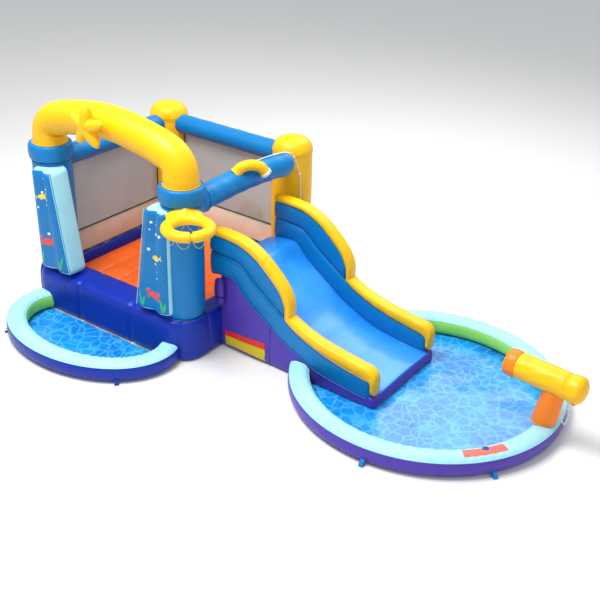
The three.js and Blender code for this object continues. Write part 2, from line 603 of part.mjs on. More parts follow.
const postFoot = rimTop + GAP;
const postTop = neckFoot - GAP;
const postBody = new THREE.CylinderGeometry(POST_NECK_R, POST_R, postTop - postFoot, 16);
postBody.rotateX(Math.PI / 2);
const lean = POST_LEAN / (postTop - postFoot);
postBody.applyMatrix4(new THREE.Matrix4().set(1, 0, lean, postX + POST_LEAN / 2, 0, 1, 0, pivot.y,
  0, 0, 1, (postFoot + postTop) / 2, 0, 0, 0, 1));
piece('cannon_post', solid(postBody), ORANGE);

// The hand loop hangs under the rear of the barrel.
const loopTop = CANNON_HEIGHT - CANNON_R + 12;
const loopLow = CANNON_HEIGHT - CANNON_R - 40;
const loopLine = through([onBarrel(-160, loopTop), onBarrel(-163, loopLow + 20), onBarrel(-182, loopLow),
  onBarrel(-201, loopLow + 20), onBarrel(-204, loopTop)]);
piece('cannon_loop', tube(loopLine, 8, 10, 8).subtract(barrelBody), YELLOW);

// ---- ball hoop held by a pad on the front right column ----
const hoopDistance = FRONT_COLUMN_R + HOOP_REACH + HOOP_R + HOOP_TUBE;
const hoopX = COLUMN_X + HOOP_TURN.x * hoopDistance;
const hoopY = FRONT_COLUMN_Y + HOOP_TURN.y * hoopDistance;

function hoop(grow = 0) {
  const profile = [];
  for (let k = 0; k < 8; k += 1) {
    const angle = ((k + 0.5) / 8) * 2 * Math.PI;
    const r = HOOP_TUBE + grow;
    profile.push([HOOP_R + r * Math.cos(angle), HOOP_HEIGHT + r * Math.sin(angle)]);
  }
  profile.push(profile[0]);
  return turned(profile, 20).translate([hoopX, hoopY, 0]);
}
piece('hoop_ring', hoop(), YELLOW);
const padReach = FRONT_COLUMN_R + 2 * HOOP_TUBE;
const padHalf = HOOP_R * 0.62;
const padBlock = new THREE.BoxGeometry(padReach - FRONT_COLUMN_R / 2, 2 * padHalf, 2 * HOOP_TUBE + 30);
padBlock.translate((padReach + FRONT_COLUMN_R / 2) / 2, 0, HOOP_HEIGHT);
padBlock.rotateZ(Math.atan2(HOOP_TURN.y, HOOP_TURN.x));
padBlock.translate(COLUMN_X, FRONT_COLUMN_Y, 0);
const padSpace = box([0, PANEL_FRONT - 500, 0], [PANEL_OUTER_X + GAP, PANEL_BACK + GAP, COLLAR_TOP]);
piece('hoop_pad', solid(padBlock).subtract(hoop(GAP)).subtract(frontColumn(1, GAP)).subtract(padSpace), YELLOW);

// ---- sprinkler on the right rail, and the clear hose that feeds it and the cannon ----
const sprinklerEnd = new THREE.Vector3(COLUMN_X + 200, 135, RAIL_HEIGHT + 78);
const sprinklerLine = through([[COLUMN_X + 22, -90, RAIL_HEIGHT + 88], [COLUMN_X + 55, -50, RAIL_HEIGHT + 138],
  [COLUMN_X + 110, 25, RAIL_HEIGHT + 158], [COLUMN_X + 170, 100, RAIL_HEIGHT + 132], sprinklerEnd.toArray()]);
piece('sprinkler_tube', tube(sprinklerLine, SPRINKLER_R, 10, 10).subtract(rightRail(GAP)), YELLOW);
const nozzleWay = sprinklerLine.getTangent(1);
const nozzleAt = (d) => sprinklerEnd.clone().addScaledVector(nozzleWay, d).toArray();
const nozzle = tube(along(nozzleAt(GAP), nozzleAt(28)), SPRINKLER_R + 4, 1, 12);
const nozzleBore = tube(along(nozzleAt(10), nozzleAt(40)), SPRINKLER_R - 12, 1, 12);
piece('sprinkler_nozzle', nozzle.subtract(nozzleBore), WHITE);

// Past the rail, its places are measured from the back column and the base.
const teeAt = [BASE_HALF + 130, SLIDE_HALF + 83, 26];
const onRail = [[61, 64, 150], [54, 70, 148], [43, 86, 140], [35, 130, 132], [40, 200, 136], [55, 290, 142]];
const downColumn = [[82, -450, RAIL_HEIGHT + 147], [112, -350, RAIL_HEIGHT + 150],
  [136, -280, RAIL_HEIGHT + 140], [156, -238, RAIL_HEIGHT + 120], [174, -200, RAIL_HEIGHT + 60],
  [186, -160, 1500], [192, -122, 1380], [192, -112, 1200], [196, -116, 900],
  [202, -122, 560]];
const overBase = [[18, 76, BASE_HEIGHT + 15], [20, 66, 250], [32, 40, 90], [65, 5, 34]];
const upperRoute = through([
  ...onRail.map(([x, y, z]) => [COLUMN_X + x, y, RAIL_HEIGHT + z]),
  ...downColumn.map(([x, y, z]) => [COLUMN_X + x, BACK_COLUMN_Y + y, z]),
  ...overBase.map(([x, y, z]) => [BASE_HALF + x, teeAt[1] + y, z]),
  ...[-45, -32, -21.5].map((x) => [teeAt[0] + x, teeAt[1], teeAt[2]])]);
piece('upper_hose', tube(upperRoute, HOSE_R, 38, 8), CLEAR);
const teeBar = tube(along([teeAt[0] - 21, ...teeAt.slice(1)], [teeAt[0] + 21, ...teeAt.slice(1)]), 10, 1, 10);
const teeInlet = tube(along(teeAt, [teeAt[0], teeAt[1] + 45, teeAt[2]]), 14, 1, 10);
piece('hose_tee', teeBar.add(teeInlet), WHITE);

// The lower hose follows the large pool's outer edge through small keeper loops.
const poolEdge = BIG_POOL.x + BIG_POOL.halfLength;
const groundWay = BIG_POOL.x - BIG_POOL.halfLength + 120 - teeAt[0]; // along X from the tee to the pool
const onGround = [[0.23, -18, 20], [0.586, -40, 14], [0.843, -25, 14], [1, 60, 20]];
const lowerRoute = [21.5, 40].map((x) => [teeAt[0] + x, teeAt[1], teeAt[2]]);
lowerRoute.push(...onGround.map(([share, y, z]) => [teeAt[0] + share * groundWay, teeAt[1] + y, z]));
for (let k = 0; k <= 9; k += 1) {
  const angle = THREE.MathUtils.degToRad(138 - k * 14);
  const offset = 14;
  lowerRoute.push([BIG_POOL.x + (BIG_POOL.halfLength + offset) * Math.cos(angle),
    BIG_POOL.y + (BIG_POOL.halfWidth + offset) * Math.sin(angle), 110]);
}
lowerRoute.push([poolEdge + 12, 100, rimTop - 38], [poolEdge - 8, 82, rimTop + 1],
  [poolEdge - 12, 78, rimTop + 23]);
piece('lower_hose', tube(through(lowerRoute), HOSE_R, 40, 8), CLEAR);
const rising = [[82, 70, -320], [110, 38, -268], [134, 0, -220], [146, -18, -180], [141, -16, -142],
  [126, -12, -115]];
const cannonRoute = through([[poolEdge - 12, 78, rimTop + 27], [poolEdge - 12, 78, rimTop + 49],
  ...rising.map(([x, y, z]) => [pivot.x + x, y, CANNON_HEIGHT + z])]);
piece('cannon_hose', tube(cannonRoute, HOSE_R, 12, 8).subtract(barrelBody), CLEAR);

// ---- inflation sleeve to the blower, the spare sleeve and the deflation zip ----
const outletMouth = BLOWER_Y - OUTLET_LENGTH;

// The sleeve's centreline: it leaves the house, drops to the outlet's height and slips over its mouth.
function sleevePath(start, end) {
  const stations = [[start, SLEEVE_HEIGHT], [BASE_HALF + 100, SLEEVE_HEIGHT], [outletMouth - 60, OUTLET_HEIGHT],
    [outletMouth - 25, OUTLET_HEIGHT], [outletMouth, OUTLET_HEIGHT], [end, OUTLET_HEIGHT]];
  return through(stations.map(([y, z]) => [BLOWER_X, y, z]));
}
const sleeveThick = 3;
const sleeveBore = tube(sleevePath(BASE_HALF - 10, outletMouth + 60), SLEEVE_R - sleeveThick, 9, 12);
const sleeve = tube(sleevePath(BASE_HALF + GAP, outletMouth + 50), SLEEVE_R, 9, 12);
piece('inflation_sleeve', sleeve.subtract(sleeveBore), ROYAL);
const strapY = outletMouth + 25;
function strapSpan(half, radius) {
  const line = along([BLOWER_X, strapY - half, OUTLET_HEIGHT], [BLOWER_X, strapY + half, OUTLET_HEIGHT]);
  return tube(line, radius, 1, 12);
}
piece('sleeve_strap', strapSpan(12, SLEEVE_R + 4).subtract(strapSpan(15, SLEEVE_R + GAP)), BLACK);

const spare = new THREE.CapsuleGeometry(55, 170, 4, 10);
spare.rotateX(Math.PI / 2);
spare.scale(1.1, 0.7, 1);
spare.translate(BASE_HALF + 28, -SLIDE_HALF - 0.7 * 55 - GAP, 640);
piece('spare_sleeve', solid(spare), PURPLE);

const ZIP_FROM = 250;
const ZIP_LENGTH = 360;
const ZIP_HEIGHT = 205;
const zipFace = BASE_HALF + GAP;
const zipTape = box([ZIP_FROM, zipFace, ZIP_HEIGHT - 15],
  [ZIP_FROM + ZIP_LENGTH, zipFace + 2.5, ZIP_HEIGHT + 15]);
piece('zip_tape', zipTape, BLACK);
const sliderLow = zipFace + 2.5 + GAP;
const sliderHigh = sliderLow + 7;
const sliderX = ZIP_FROM + 18;
const sliderBody = box([sliderX - 10, sliderLow, ZIP_HEIGHT - 8], [sliderX + 10, sliderHigh, ZIP_HEIGHT + 8]);
const sliderPull = box([sliderX - 5, sliderHigh - 3, ZIP_HEIGHT - 44], [sliderX + 5, sliderHigh, ZIP_HEIGHT - 4]);
piece('zip_slider', sliderBody.add(sliderPull), STEEL);

// ---- blower: axis along X, intake towards +X, outlet towards the house ----
// A profile of (radius, x) points turned about the impeller's axis.
function onFanAxis(profile, segments) {
  const geometry = new THREE.LatheGeometry(profile.map(([r, x]) => new THREE.Vector2(r, x)), segments);
  geometry.rotateZ(-Math.PI / 2);
  geometry.translate(BLOWER_X, BLOWER_Y, BLOWER_AXIS);
  return solid(geometry);
}

function disc(radius, low, high, segments = 24) {
  return onFanAxis([[0, low], [radius, low], [radius, high], [0, high]], segments);
}

function outletPipe(radius, from, to) {
  const start = [BLOWER_X, BLOWER_Y + from, OUTLET_HEIGHT];
  return tube(along(start, [BLOWER_X, BLOWER_Y + to, OUTLET_HEIGHT]), radius, 1, 20);
}

function blowerBox(low, high) {
  return box([BLOWER_X + low[0], BLOWER_Y + low[1], low[2]], [BLOWER_X + high[0], BLOWER_Y + high[1], high[2]]);
}

const shellSpace = disc(VOLUTE_R - CASING, -HALF_DEPTH + CASING, HALF_DEPTH - CASING)
  .add(outletPipe(OUTLET_R - CASING, 20, -OUTLET_LENGTH - 10));
const strutTop = BLOWER_AXIS - 0.715 * VOLUTE_R;
const strutWay = 0.7 * VOLUTE_R; // from the fan's axis to each foot's middle
const feet = [[-strutWay - 30, -strutWay + 30], [strutWay - 30, strutWay + 30]];

function casing(side) {
  let shell = disc(VOLUTE_R, -HALF_DEPTH, HALF_DEPTH).add(outletPipe(OUTLET_R, 0, -OUTLET_LENGTH));
  for (const [from, to] of feet) {
    shell = shell.add(blowerBox([-115, from, 0], [115, to, 9]));
    shell = shell.add(blowerBox([-60, (from + to) / 2 - 5, 4], [60, (from + to) / 2 + 5, strutTop]));
  }
  for (let k = 0; k < BOSSES; k += 1) {
    const angle = (k / BOSSES) * 2 * Math.PI + 0.35;
    const boss = new THREE.CylinderGeometry(9, 9, 50, 8);
    boss.rotateZ(Math.PI / 2);
    boss.translate(BLOWER_X, BLOWER_Y + VOLUTE_R * Math.cos(angle), BLOWER_AXIS + VOLUTE_R * Math.sin(angle));
    shell = shell.add(solid(boss));
  }
  shell = shell.subtract(shellSpace);
  const half = side > 0 ? [GAP / 2, 200] : [-200, -GAP / 2];
  return shell.intersect(blowerBox([half[0], -400, -10], [half[1], 400, 500]));
}

piece('blower_front_casing', casing(1).subtract(disc(INTAKE_R, 0, HALF_DEPTH + 10)), LIME);
piece('blower_rear_casing', casing(-1), LIME);

const ringFoot = HALF_DEPTH + GAP;
const seatR = INTAKE_R + 19; // of the step that the grille sits on
const seatDepth = 16;
piece('intake_ring', onFanAxis([[INTAKE_R, ringFoot], [seatR + 38, ringFoot], [seatR + 20, ringFoot + 38],
  [seatR + 4, ringFoot + 38], [seatR, ringFoot + seatDepth], [INTAKE_R, ringFoot + seatDepth],
  [INTAKE_R, ringFoot]], 24), LIME);
let grille = disc(seatR - 2, ringFoot + seatDepth + GAP, ringFoot + seatDepth + 5, 24);
const HOLE_PITCH = seatR * 0.23;
for (let row = -2; row <= 2; row += 1) {
  for (let place = 0; place < 5 - Math.abs(row); place += 1) {
    const y = (place - (4 - Math.abs(row)) / 2) * HOLE_PITCH;
    const z = row * HOLE_PITCH * 0.866;
    const hole = new THREE.CylinderGeometry(HOLE_PITCH * 0.42, HOLE_PITCH * 0.42, 20, 6);
    hole.rotateZ(Math.PI / 2);
    hole.translate(BLOWER_X + ringFoot + 18, BLOWER_Y + y, BLOWER_AXIS + z);
    grille = grille.subtract(solid(hole));
  }
}
piece('intake_grille', grille, GREEN);

// The impeller: a back plate, curved-blade cage and front ring on a hub, bored for the shaft.
const bladeFoot = IMPELLER_R - 24;
let impeller = disc(IMPELLER_R, -18, -14, 16).add(disc(20, -18, 20, 12));
impeller = impeller.add(onFanAxis([[bladeFoot, 58], [IMPELLER_R, 58], [IMPELLER_R, 62], [bladeFoot, 62],
  [bladeFoot, 58]], 16));
for (let k = 0; k < 10; k += 1) {
  const blade = new THREE.BoxGeometry(78, 24, 3);
  blade.rotateX(0.6);
  blade.translate(22, IMPELLER_R - 16, 0);
  blade.rotateX((k / 10) * 2 * Math.PI);
  blade.translate(BLOWER_X, BLOWER_Y, BLOWER_AXIS);
  impeller = impeller.add(solid(blade));
}
piece('impeller', impeller.subtract(disc(SHAFT_R + GAP, -30, 30, 12)), WHITE);
piece('motor_shaft', disc(SHAFT_R, -48, 24, 12), STEEL);
const motorBack = -HALF_DEPTH + CASING + GAP;
piece('motor', disc(58, motorBack, -28, 20).subtract(disc(SHAFT_R + GAP, -52, -20, 12)), BLACK);

let outletMesh = outletPipe(OUTLET_R - CASING - GAP, -OUTLET_LENGTH + 8, -OUTLET_LENGTH + 6);
for (let row = -2; row <= 2; row += 1) {
  const half = row % 2 === 0 && row !== 0 ? 26 : 40;
  const z = OUTLET_HEIGHT + row * 19;
  outletMesh = outletMesh.subtract(blowerBox([-half, -OUTLET_LENGTH, z - 6], [-3, -OUTLET_LENGTH + 20, z + 6]));
  outletMesh = outletMesh.subtract(blowerBox([3, -OUTLET_LENGTH, z - 6], [half, -OUTLET_LENGTH + 20, z + 6]));
}
piece('outlet_mesh', outletMesh, STEEL);

const SWITCH_FACE = -VOLUTE_R - 30;
const switchZ = BLOWER_AXIS + 25;
let switchBox = blowerBox([-78, SWITCH_FACE, switchZ - 70], [-26, -VOLUTE_R + 55, switchZ + 70]);
switchBox = switchBox.subtract(disc(VOLUTE_R + GAP, -HALF_DEPTH, HALF_DEPTH));
const switchHole = blowerBox([-62, SWITCH_FACE - 5, switchZ - 13], [-42, SWITCH_FACE + 9, switchZ + 13]);
switchBox = switchBox.subtract(switchHole);
piece('switch_box', switchBox, LIME);
const rocker = new THREE.CylinderGeometry(11, 11, 18, 12);
rocker.rotateZ(Math.PI / 2);
rocker.scale(1, 0.55, 1);
rocker.rotateX(THREE.MathUtils.degToRad(-7));
rocker.translate(BLOWER_X - 52, BLOWER_Y + SWITCH_FACE + 1, switchZ);
piece('rocker_switch', solid(rocker), BLACK);

const glandZ = BLOWER_AXIS - 0.657 * VOLUTE_R;
const glandLine = along([BLOWER_X - 40, BLOWER_Y + 95, glandZ], [BLOWER_X - 40, BLOWER_Y + 160, glandZ]);
const gland = tube(glandLine, 10, 1, 12).subtract(disc(VOLUTE_R + GAP, -HALF_DEPTH, HALF_DEPTH));
piece('cable_gland', gland, BLACK);

export default house;
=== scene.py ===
import math
import random

import bmesh
import bpy
from mathutils import Matrix, Vector
from mathutils.bvhtree import BVHTree


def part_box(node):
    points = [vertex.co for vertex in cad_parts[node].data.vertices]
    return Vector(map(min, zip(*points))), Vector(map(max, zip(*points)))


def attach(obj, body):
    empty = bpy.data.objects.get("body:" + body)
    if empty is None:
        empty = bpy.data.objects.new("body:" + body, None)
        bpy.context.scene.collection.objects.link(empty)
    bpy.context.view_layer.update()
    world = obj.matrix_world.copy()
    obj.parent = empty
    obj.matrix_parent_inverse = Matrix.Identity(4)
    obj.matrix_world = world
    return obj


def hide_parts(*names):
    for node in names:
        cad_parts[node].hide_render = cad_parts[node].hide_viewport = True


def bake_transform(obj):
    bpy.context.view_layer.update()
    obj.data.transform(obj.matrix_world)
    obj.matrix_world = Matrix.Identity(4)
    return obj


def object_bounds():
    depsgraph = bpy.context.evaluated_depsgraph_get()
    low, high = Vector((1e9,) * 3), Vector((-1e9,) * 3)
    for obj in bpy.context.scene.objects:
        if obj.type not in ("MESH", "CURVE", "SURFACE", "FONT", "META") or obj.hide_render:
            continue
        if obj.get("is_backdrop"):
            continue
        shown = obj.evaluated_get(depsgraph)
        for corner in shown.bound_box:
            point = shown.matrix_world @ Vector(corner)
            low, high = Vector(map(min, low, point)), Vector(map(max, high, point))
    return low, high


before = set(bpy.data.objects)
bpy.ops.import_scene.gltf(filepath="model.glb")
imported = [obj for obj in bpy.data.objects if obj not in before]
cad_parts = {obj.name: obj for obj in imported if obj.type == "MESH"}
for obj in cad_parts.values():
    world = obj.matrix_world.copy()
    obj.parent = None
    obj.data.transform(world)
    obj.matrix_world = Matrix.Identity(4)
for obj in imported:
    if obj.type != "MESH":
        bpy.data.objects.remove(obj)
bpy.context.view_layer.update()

# ---- Camera ----
# Stands to the front right of the house, well above head height, looking down a little, and with a
# slight roll.
view_right = Vector((0.82518, 0.56296, 0.04636))
view_up = Vector((-0.30204, 0.37039, 0.87840))
view_back = Vector((0.47733, -0.73884, 0.47568))
camera_data = bpy.data.cameras.new("camera")
camera_data.sensor_width = 36
camera_data.lens = 57.9
camera_data.shift_x = -0.0568
camera_data.shift_y = -0.0093
camera_data.clip_end = 100
camera = bpy.data.objects.new("camera", camera_data)
camera.matrix_world = Matrix((
    (view_right.x, view_up.x, view_back.x, 6.354),
    (view_right.y, view_up.y, view_back.y, -6.748),
    (view_right.z, view_up.z, view_back.z, 5.0125),
    (0, 0, 0, 1),
))
bpy.context.collection.objects.link(camera)
bpy.context.scene.camera = camera

# ---- Water hoses ----
# Clear PVC hose, 12 mm across: one line from the sprinkler down to the tee, one round the large pool
# to the cannon, and the short free end that rises into the barrel. Keepers hold the first two.


class Value:
    """A number on a material's node tree, which adds Math nodes as it is used in sums."""

    def __init__(self, finish, socket):
        self.finish = finish
        self.socket = socket

    def math(self, operation, *others):
        return self.finish.node("ShaderNodeMath", {"operation": operation}, (self, *others))

    def __add__(self, other):
        return self.math("ADD", other)

    def __mul__(self, other):
        return self.math("MULTIPLY", other)

    def __sub__(self, other):
        return self.math("SUBTRACT", other)

    def __rsub__(self, other):
        return self.finish.node("ShaderNodeMath", {"operation": "SUBTRACT"}, (other, self))

    __radd__ = __add__
    __rmul__ = __mul__

    def smooth(self, low, high):
        """0 below low, 1 above high, and a smooth step between."""
        settings = {"interpolation_type": "SMOOTHSTEP"}
        inputs = {"Value": self, "From Min": low, "From Max": high, "To Min": 0.0, "To Max": 1.0}
        return self.finish.node("ShaderNodeMapRange", settings, inputs)

    def between(self, start, end):
        """Mixes two colours by this value."""
        inputs = {"Factor": self, "A": start, "B": end}
        return self.finish.node("ShaderNodeMix", {"data_type": "RGBA"}, inputs)


class Finish:
    """One material, built node by node, and the slot name that it keeps."""

    def __init__(self, name, slot):
        self.slot = slot
        self.material = bpy.data.materials.new(name)
        self.material.use_nodes = True
        self.tree = self.material.node_tree
        self.shader = self.tree.nodes["Principled BSDF"]
        self.place = self.node("ShaderNodeTexCoord", {}, {}, "Object")
        parts = self.tree.nodes.new("ShaderNodeSeparateXYZ")
        self.feed(parts.inputs[0], self.place)
        self.x, self.y, self.z = (Value(self, socket) for socket in parts.outputs)

    def feed(self, socket, value):
        if isinstance(value, Value):
            self.tree.links.new(value.socket, socket)
        elif socket.type == "RGBA":
            socket.default_value = (*value[:3], 1.0)
        else:
            socket.default_value = value

    def node(self, kind, settings, inputs, output=None):
        node = self.tree.nodes.new(kind)
        for key, setting in settings.items():
            setattr(node, key, setting)
        if isinstance(inputs, tuple):
            for socket, value in zip(node.inputs, inputs):
                self.feed(socket, value)
        else:
            for key, value in inputs.items():
                self.feed([s for s in node.inputs if s.name == key and s.enabled][0], value)
        shown = [s for s in node.outputs if s.enabled]
        return Value(self, shown[0] if output is None else node.outputs[output])

    def noise(self, scale, detail=2.0, roughness=0.5):
        inputs = {"Vector": self.place, "Scale": scale, "Detail": detail, "Roughness": roughness}
        return self.node("ShaderNodeTexNoise", {}, inputs, "Fac")

    def bump(self, height, distance, strength=1.0):
        inputs = {"Height": height, "Distance": distance, "Strength": strength}
        self.feed(self.shader.inputs["Normal"], self.node("ShaderNodeBump", {}, inputs))

    def set(self, **values):
        for key, value in values.items():
            self.feed(self.shader.inputs[key.replace("_", " ")], value)
        return self


def linked(name, data):
    made = bpy.data.objects.new(name, data)
    bpy.context.collection.objects.link(made)
    return made


def mesh_object(name, points, faces, finishes, face_finish=None):
    """An object at the origin: doubles merged, faces turned outwards, hard edges kept."""
    mesh = bpy.data.meshes.new(name)
    mesh.from_pydata([tuple(p) for p in points], [], faces)
    for finish in finishes:
        mesh.materials.append(finish.material)
    if face_finish:
        mesh.polygons.foreach_set("material_index", face_finish)
    work = bmesh.new()
    work.from_mesh(mesh)
    bmesh.ops.remove_doubles(work, verts=work.verts, dist=1e-6)
    bmesh.ops.dissolve_degenerate(work, edges=work.edges, dist=1e-7)
    bmesh.ops.recalc_face_normals(work, faces=work.faces)
    work.to_mesh(mesh)
    work.free()
    mesh.polygons.foreach_set("use_smooth", [True] * len(mesh.polygons))
    mesh.set_sharp_from_angle(angle=math.radians(48))
    return linked(name, mesh)


def settle(made, *nodes, body="root"):
    """Rides a finished piece on its body and lets it stand for its CAD nodes."""
    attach(made, body)
    if nodes:
        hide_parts(*nodes)
    return made


def loft(name, rings, finishes, face_finish=None, closed=False):
    """Joins rings of equal length into one skin, with flat ends unless it closes on itself."""
    count = len(rings[0])
    points = [p for ring in rings for p in ring]
    spans = len(rings) if closed else len(rings) - 1
    faces = []
    tints = []
    for i in range(spans):
        start = i * count
        following = ((i + 1) % len(rings)) * count
        for k in range(count):
            turn = (k + 1) % count
            faces.append((start + k, start + turn, following + turn, following + k))
            tints.append(face_finish(i, k) if face_finish else 0)
    if not closed:
        faces.append(tuple(range(count)))
        faces.append(tuple(range(len(points) - count, len(points))))
        tints += [face_finish(0, 0) if face_finish else 0] * 2
    return mesh_object(name, points, faces, finishes, tints)


def spline(points, steps):
    """Evenly spaced places on a smooth curve through the points."""
    points = [Vector(p) for p in points]
    dense = []
    for i in range(len(points) - 1):
        a, b = points[i], points[i + 1]
        before = points[i - 1] if i else 2 * a - b
        after = points[i + 2] if i + 2 < len(points) else 2 * b - a
        t1 = (a - before).length ** 0.5
        t2 = t1 + (b - a).length ** 0.5
        t3 = t2 + (after - b).length ** 0.5
        for k in range(12):
            t = t1 + (t2 - t1) * k / 12
            first = before.lerp(a, t / t1)
            second = a.lerp(b, (t - t1) / (t2 - t1))
            third = b.lerp(after, (t - t2) / (t3 - t2))
            low = first.lerp(second, t / t2)
            high = second.lerp(third, (t - t1) / (t3 - t1))
            dense.append(low.lerp(high, (t - t1) / (t2 - t1)))
    dense.append(points[-1])
    return even(dense, steps)


def even(line, steps):
    """The same line, as steps + 1 places an equal way apart."""
    ways = [0.0]
    for a, b in zip(line, line[1:]):
        ways.append(ways[-1] + (Vector(b) - Vector(a)).length)
    places = []
    k = 0
    for i in range(steps + 1):
        target = ways[-1] * i / steps
        while k < len(line) - 2 and ways[k + 1] < target:
            k += 1
        share = (target - ways[k]) / max(ways[k + 1] - ways[k], 1e-9)
        places.append(Vector(line[k]).lerp(Vector(line[k + 1]), min(max(share, 0.0), 1.0)))
    return places


def about(centre, turn, a, b, height):
    """The place at this bearing on a level oval round centre, a wide and b deep."""
    return Vector((centre[0] + a * math.cos(turn), centre[1] + b * math.sin(turn), height))


def turns(count, start=0.0):
    """Angles an equal way apart, once round."""
    return [start + 2 * math.pi * k / count for k in range(count)]


def cross_sections(line, radius, sides):
    """Rings round a line. radius is a function of (share along it, angle)."""
    rings = []
    side = None
    for i, place in enumerate(line):
        ahead = (line[min(i + 1, len(line) - 1)] - line[max(i - 1, 0)]).normalized()
        if side is None:
            side = Vector((0, 0, 1)).cross(ahead)
            if side.length < 1e-3:
                side = Vector((1, 0, 0)).cross(ahead)
        side = (side - ahead * side.dot(ahead)).normalized()
        up = ahead.cross(side)
        ring = []
        for angle in turns(sides):
            r = radius(i / (len(line) - 1), angle)
            ring.append(place + side * (r * math.cos(angle)) + up * (r * math.sin(angle)))
        rings.append(ring)
    return rings


def hose_finish():
    finish = Finish("clear_pvc_hose", "clear_hose")
    haze = finish.noise(60.0, 3.0)
    finish.set(Base_Color=haze.smooth(0.3, 0.7).between((0.70, 0.80, 0.84), (0.88, 0.93, 0.95)))
    finish.set(Roughness=haze * 0.12 + 0.08, Coat_Weight=haze * 0.2 + 0.3, Alpha=haze * 0.25 + 0.5)
    finish.bump(finish.noise(220.0), 0.0004)
    return finish


clear_pvc = hose_finish()
HOSE_RADIUS = 0.006
POOL_X = 3.055

upper_hose_points = [
    (0.911, 0.064, 1.690), (0.904, 0.070, 1.688), (0.893, 0.086, 1.680), (0.885, 0.130, 1.672),
    (0.890, 0.200, 1.676), (0.905, 0.290, 1.682), (0.932, 0.400, 1.687), (0.962, 0.500, 1.690),
    (0.986, 0.570, 1.680), (1.006, 0.612, 1.660), (1.024, 0.650, 1.600), (1.036, 0.690, 1.500),
    (1.042, 0.728, 1.380), (1.042, 0.738, 1.200), (1.046, 0.734, 0.900), (1.052, 0.728, 0.560),
    (1.078, 0.716, 0.440), (1.080, 0.706, 0.250), (1.092, 0.680, 0.090), (1.125, 0.645, 0.034),
    (1.145, 0.640, 0.026), (1.158, 0.640, 0.026), (1.1685, 0.640, 0.026),
]
lower_hose_points = [
    (1.2115, 0.640, 0.026), (1.230, 0.640, 0.026), (1.350, 0.622, 0.020), (1.600, 0.600, 0.014),
    (1.780, 0.615, 0.014), (1.890, 0.700, 0.020),
]
for turn in range(10):
    bearing = math.radians(138 - turn * 14)
    lower_hose_points.append((POOL_X + 1.299 * math.cos(bearing), 1.272 * math.sin(bearing), 0.110))
lower_hose_points += [(4.352, 0.100, 0.165), (4.332, 0.082, 0.204), (4.328, 0.078, 0.226)]
cannon_hose_points = [
    (4.328, 0.078, 0.230), (4.328, 0.078, 0.252), (4.340, 0.070, 0.300), (4.368, 0.038, 0.352),
    (4.392, 0.000, 0.400), (4.404, -0.018, 0.440), (4.399, -0.016, 0.478), (4.384, -0.012, 0.500),
]


def hose(name, points, steps):
    line = spline(points, steps)
    return loft(name, cross_sections(line, lambda share, angle: HOSE_RADIUS, 12), [clear_pvc]), line


settle(hose("upper_hose_line", upper_hose_points, 220)[0], "upper_hose")
settle(hose("lower_hose_line", lower_hose_points, 320)[0], "lower_hose")
rising_hose, rising_line = hose("cannon_hose_line", cannon_hose_points, 60)
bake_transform(rising_hose)
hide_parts("cannon_hose")
rising_length = sum((b - a).length for a, b in zip(rising_line, rising_line[1:]))

# ---- Base ----
# Four air-filled walls of royal blue coated fabric round the bouncing floor. The front one is the
# deep step that children climb over. They are sewn to each other and to the floor.


def srgb(red, green, blue):
    """A colour as a paint chart gives it, in the shader's own numbers."""
    return tuple((c / 255) ** 2.2 for c in (red, green, blue))


def shade(colour, factor):
    return tuple(min(1.0, c * factor) for c in colour)


def coated_fabric(name, slot, colour, roughness=0.36):
    """Woven polyester under a soft vinyl coat: fine rib, soft dents, dust near the ground."""
    finish = Finish(name, slot)
    broad = finish.noise(1.6, 3.0)
    dents = finish.noise(7.0, 4.0, 0.55)
    grain = finish.noise(420.0, 2.0)
    scuffs = finish.noise(26.0, 5.0, 0.7)
    tint = broad.smooth(0.25, 0.75).between(shade(colour, 0.93), shade(colour, 1.06))
    worn = scuffs.smooth(0.62, 0.78) * 0.16
    tint = worn.between(tint, tuple(c * 0.75 + 0.22 for c in colour))
    dust = (1 - finish.z.smooth(0.0, 0.07)) * scuffs.smooth(0.35, 0.7) * 0.35
    tint = dust.between(tint, srgb(120, 112, 98))
    rib = (finish.x * 2600).math("SINE") * (finish.y * 2600).math("SINE") + (finish.z * 2600).math("SINE")
    finish.set(Base_Color=tint, Roughness=scuffs * 0.16 + roughness - 0.08, Coat_Weight=grain * 0.1 + 0.04)
    finish.shader.inputs["Coat Roughness"].default_value = 0.35
    finish.shader.inputs["Specular IOR Level"].default_value = 0.28
    finish.bump(dents * 0.9 + scuffs * 0.12 + rib * 0.006 + grain * 0.01, 0.02, 0.5)
    return finish


royal = coated_fabric("royal_blue_fabric", "royal_fabric", srgb(2, 46, 158))
sky = coated_fabric("sky_blue_fabric", "sky_fabric", srgb(0, 116, 182))
yellow = coated_fabric("yellow_fabric", "yellow_fabric", srgb(248, 188, 16))
aqua = coated_fabric("aqua_fabric", "aqua_fabric", srgb(160, 220, 233))
base_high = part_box("base_back_wall")[1]
HALF = base_high[0]
BASE_TOP = base_high[2]
CORNER = 0.25
front_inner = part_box("base_front_wall")[1][1]
back_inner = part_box("base_back_wall")[0][1]
side_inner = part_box("base_right_wall")[0][0]


def squared(angle, power):
    """The unit superellipse: power 1 is a circle, less is squarer."""
    c, s = math.cos(angle), math.sin(angle)
    return math.copysign(abs(c) ** power, c), math.copysign(abs(s) ** power, s)


def pinch(place, seams, depth, width):
    """How far a sewn seam pulls the skin in at this place."""
    return sum(depth * math.exp(-(((place - seam) / width) ** 2)) for seam in seams)


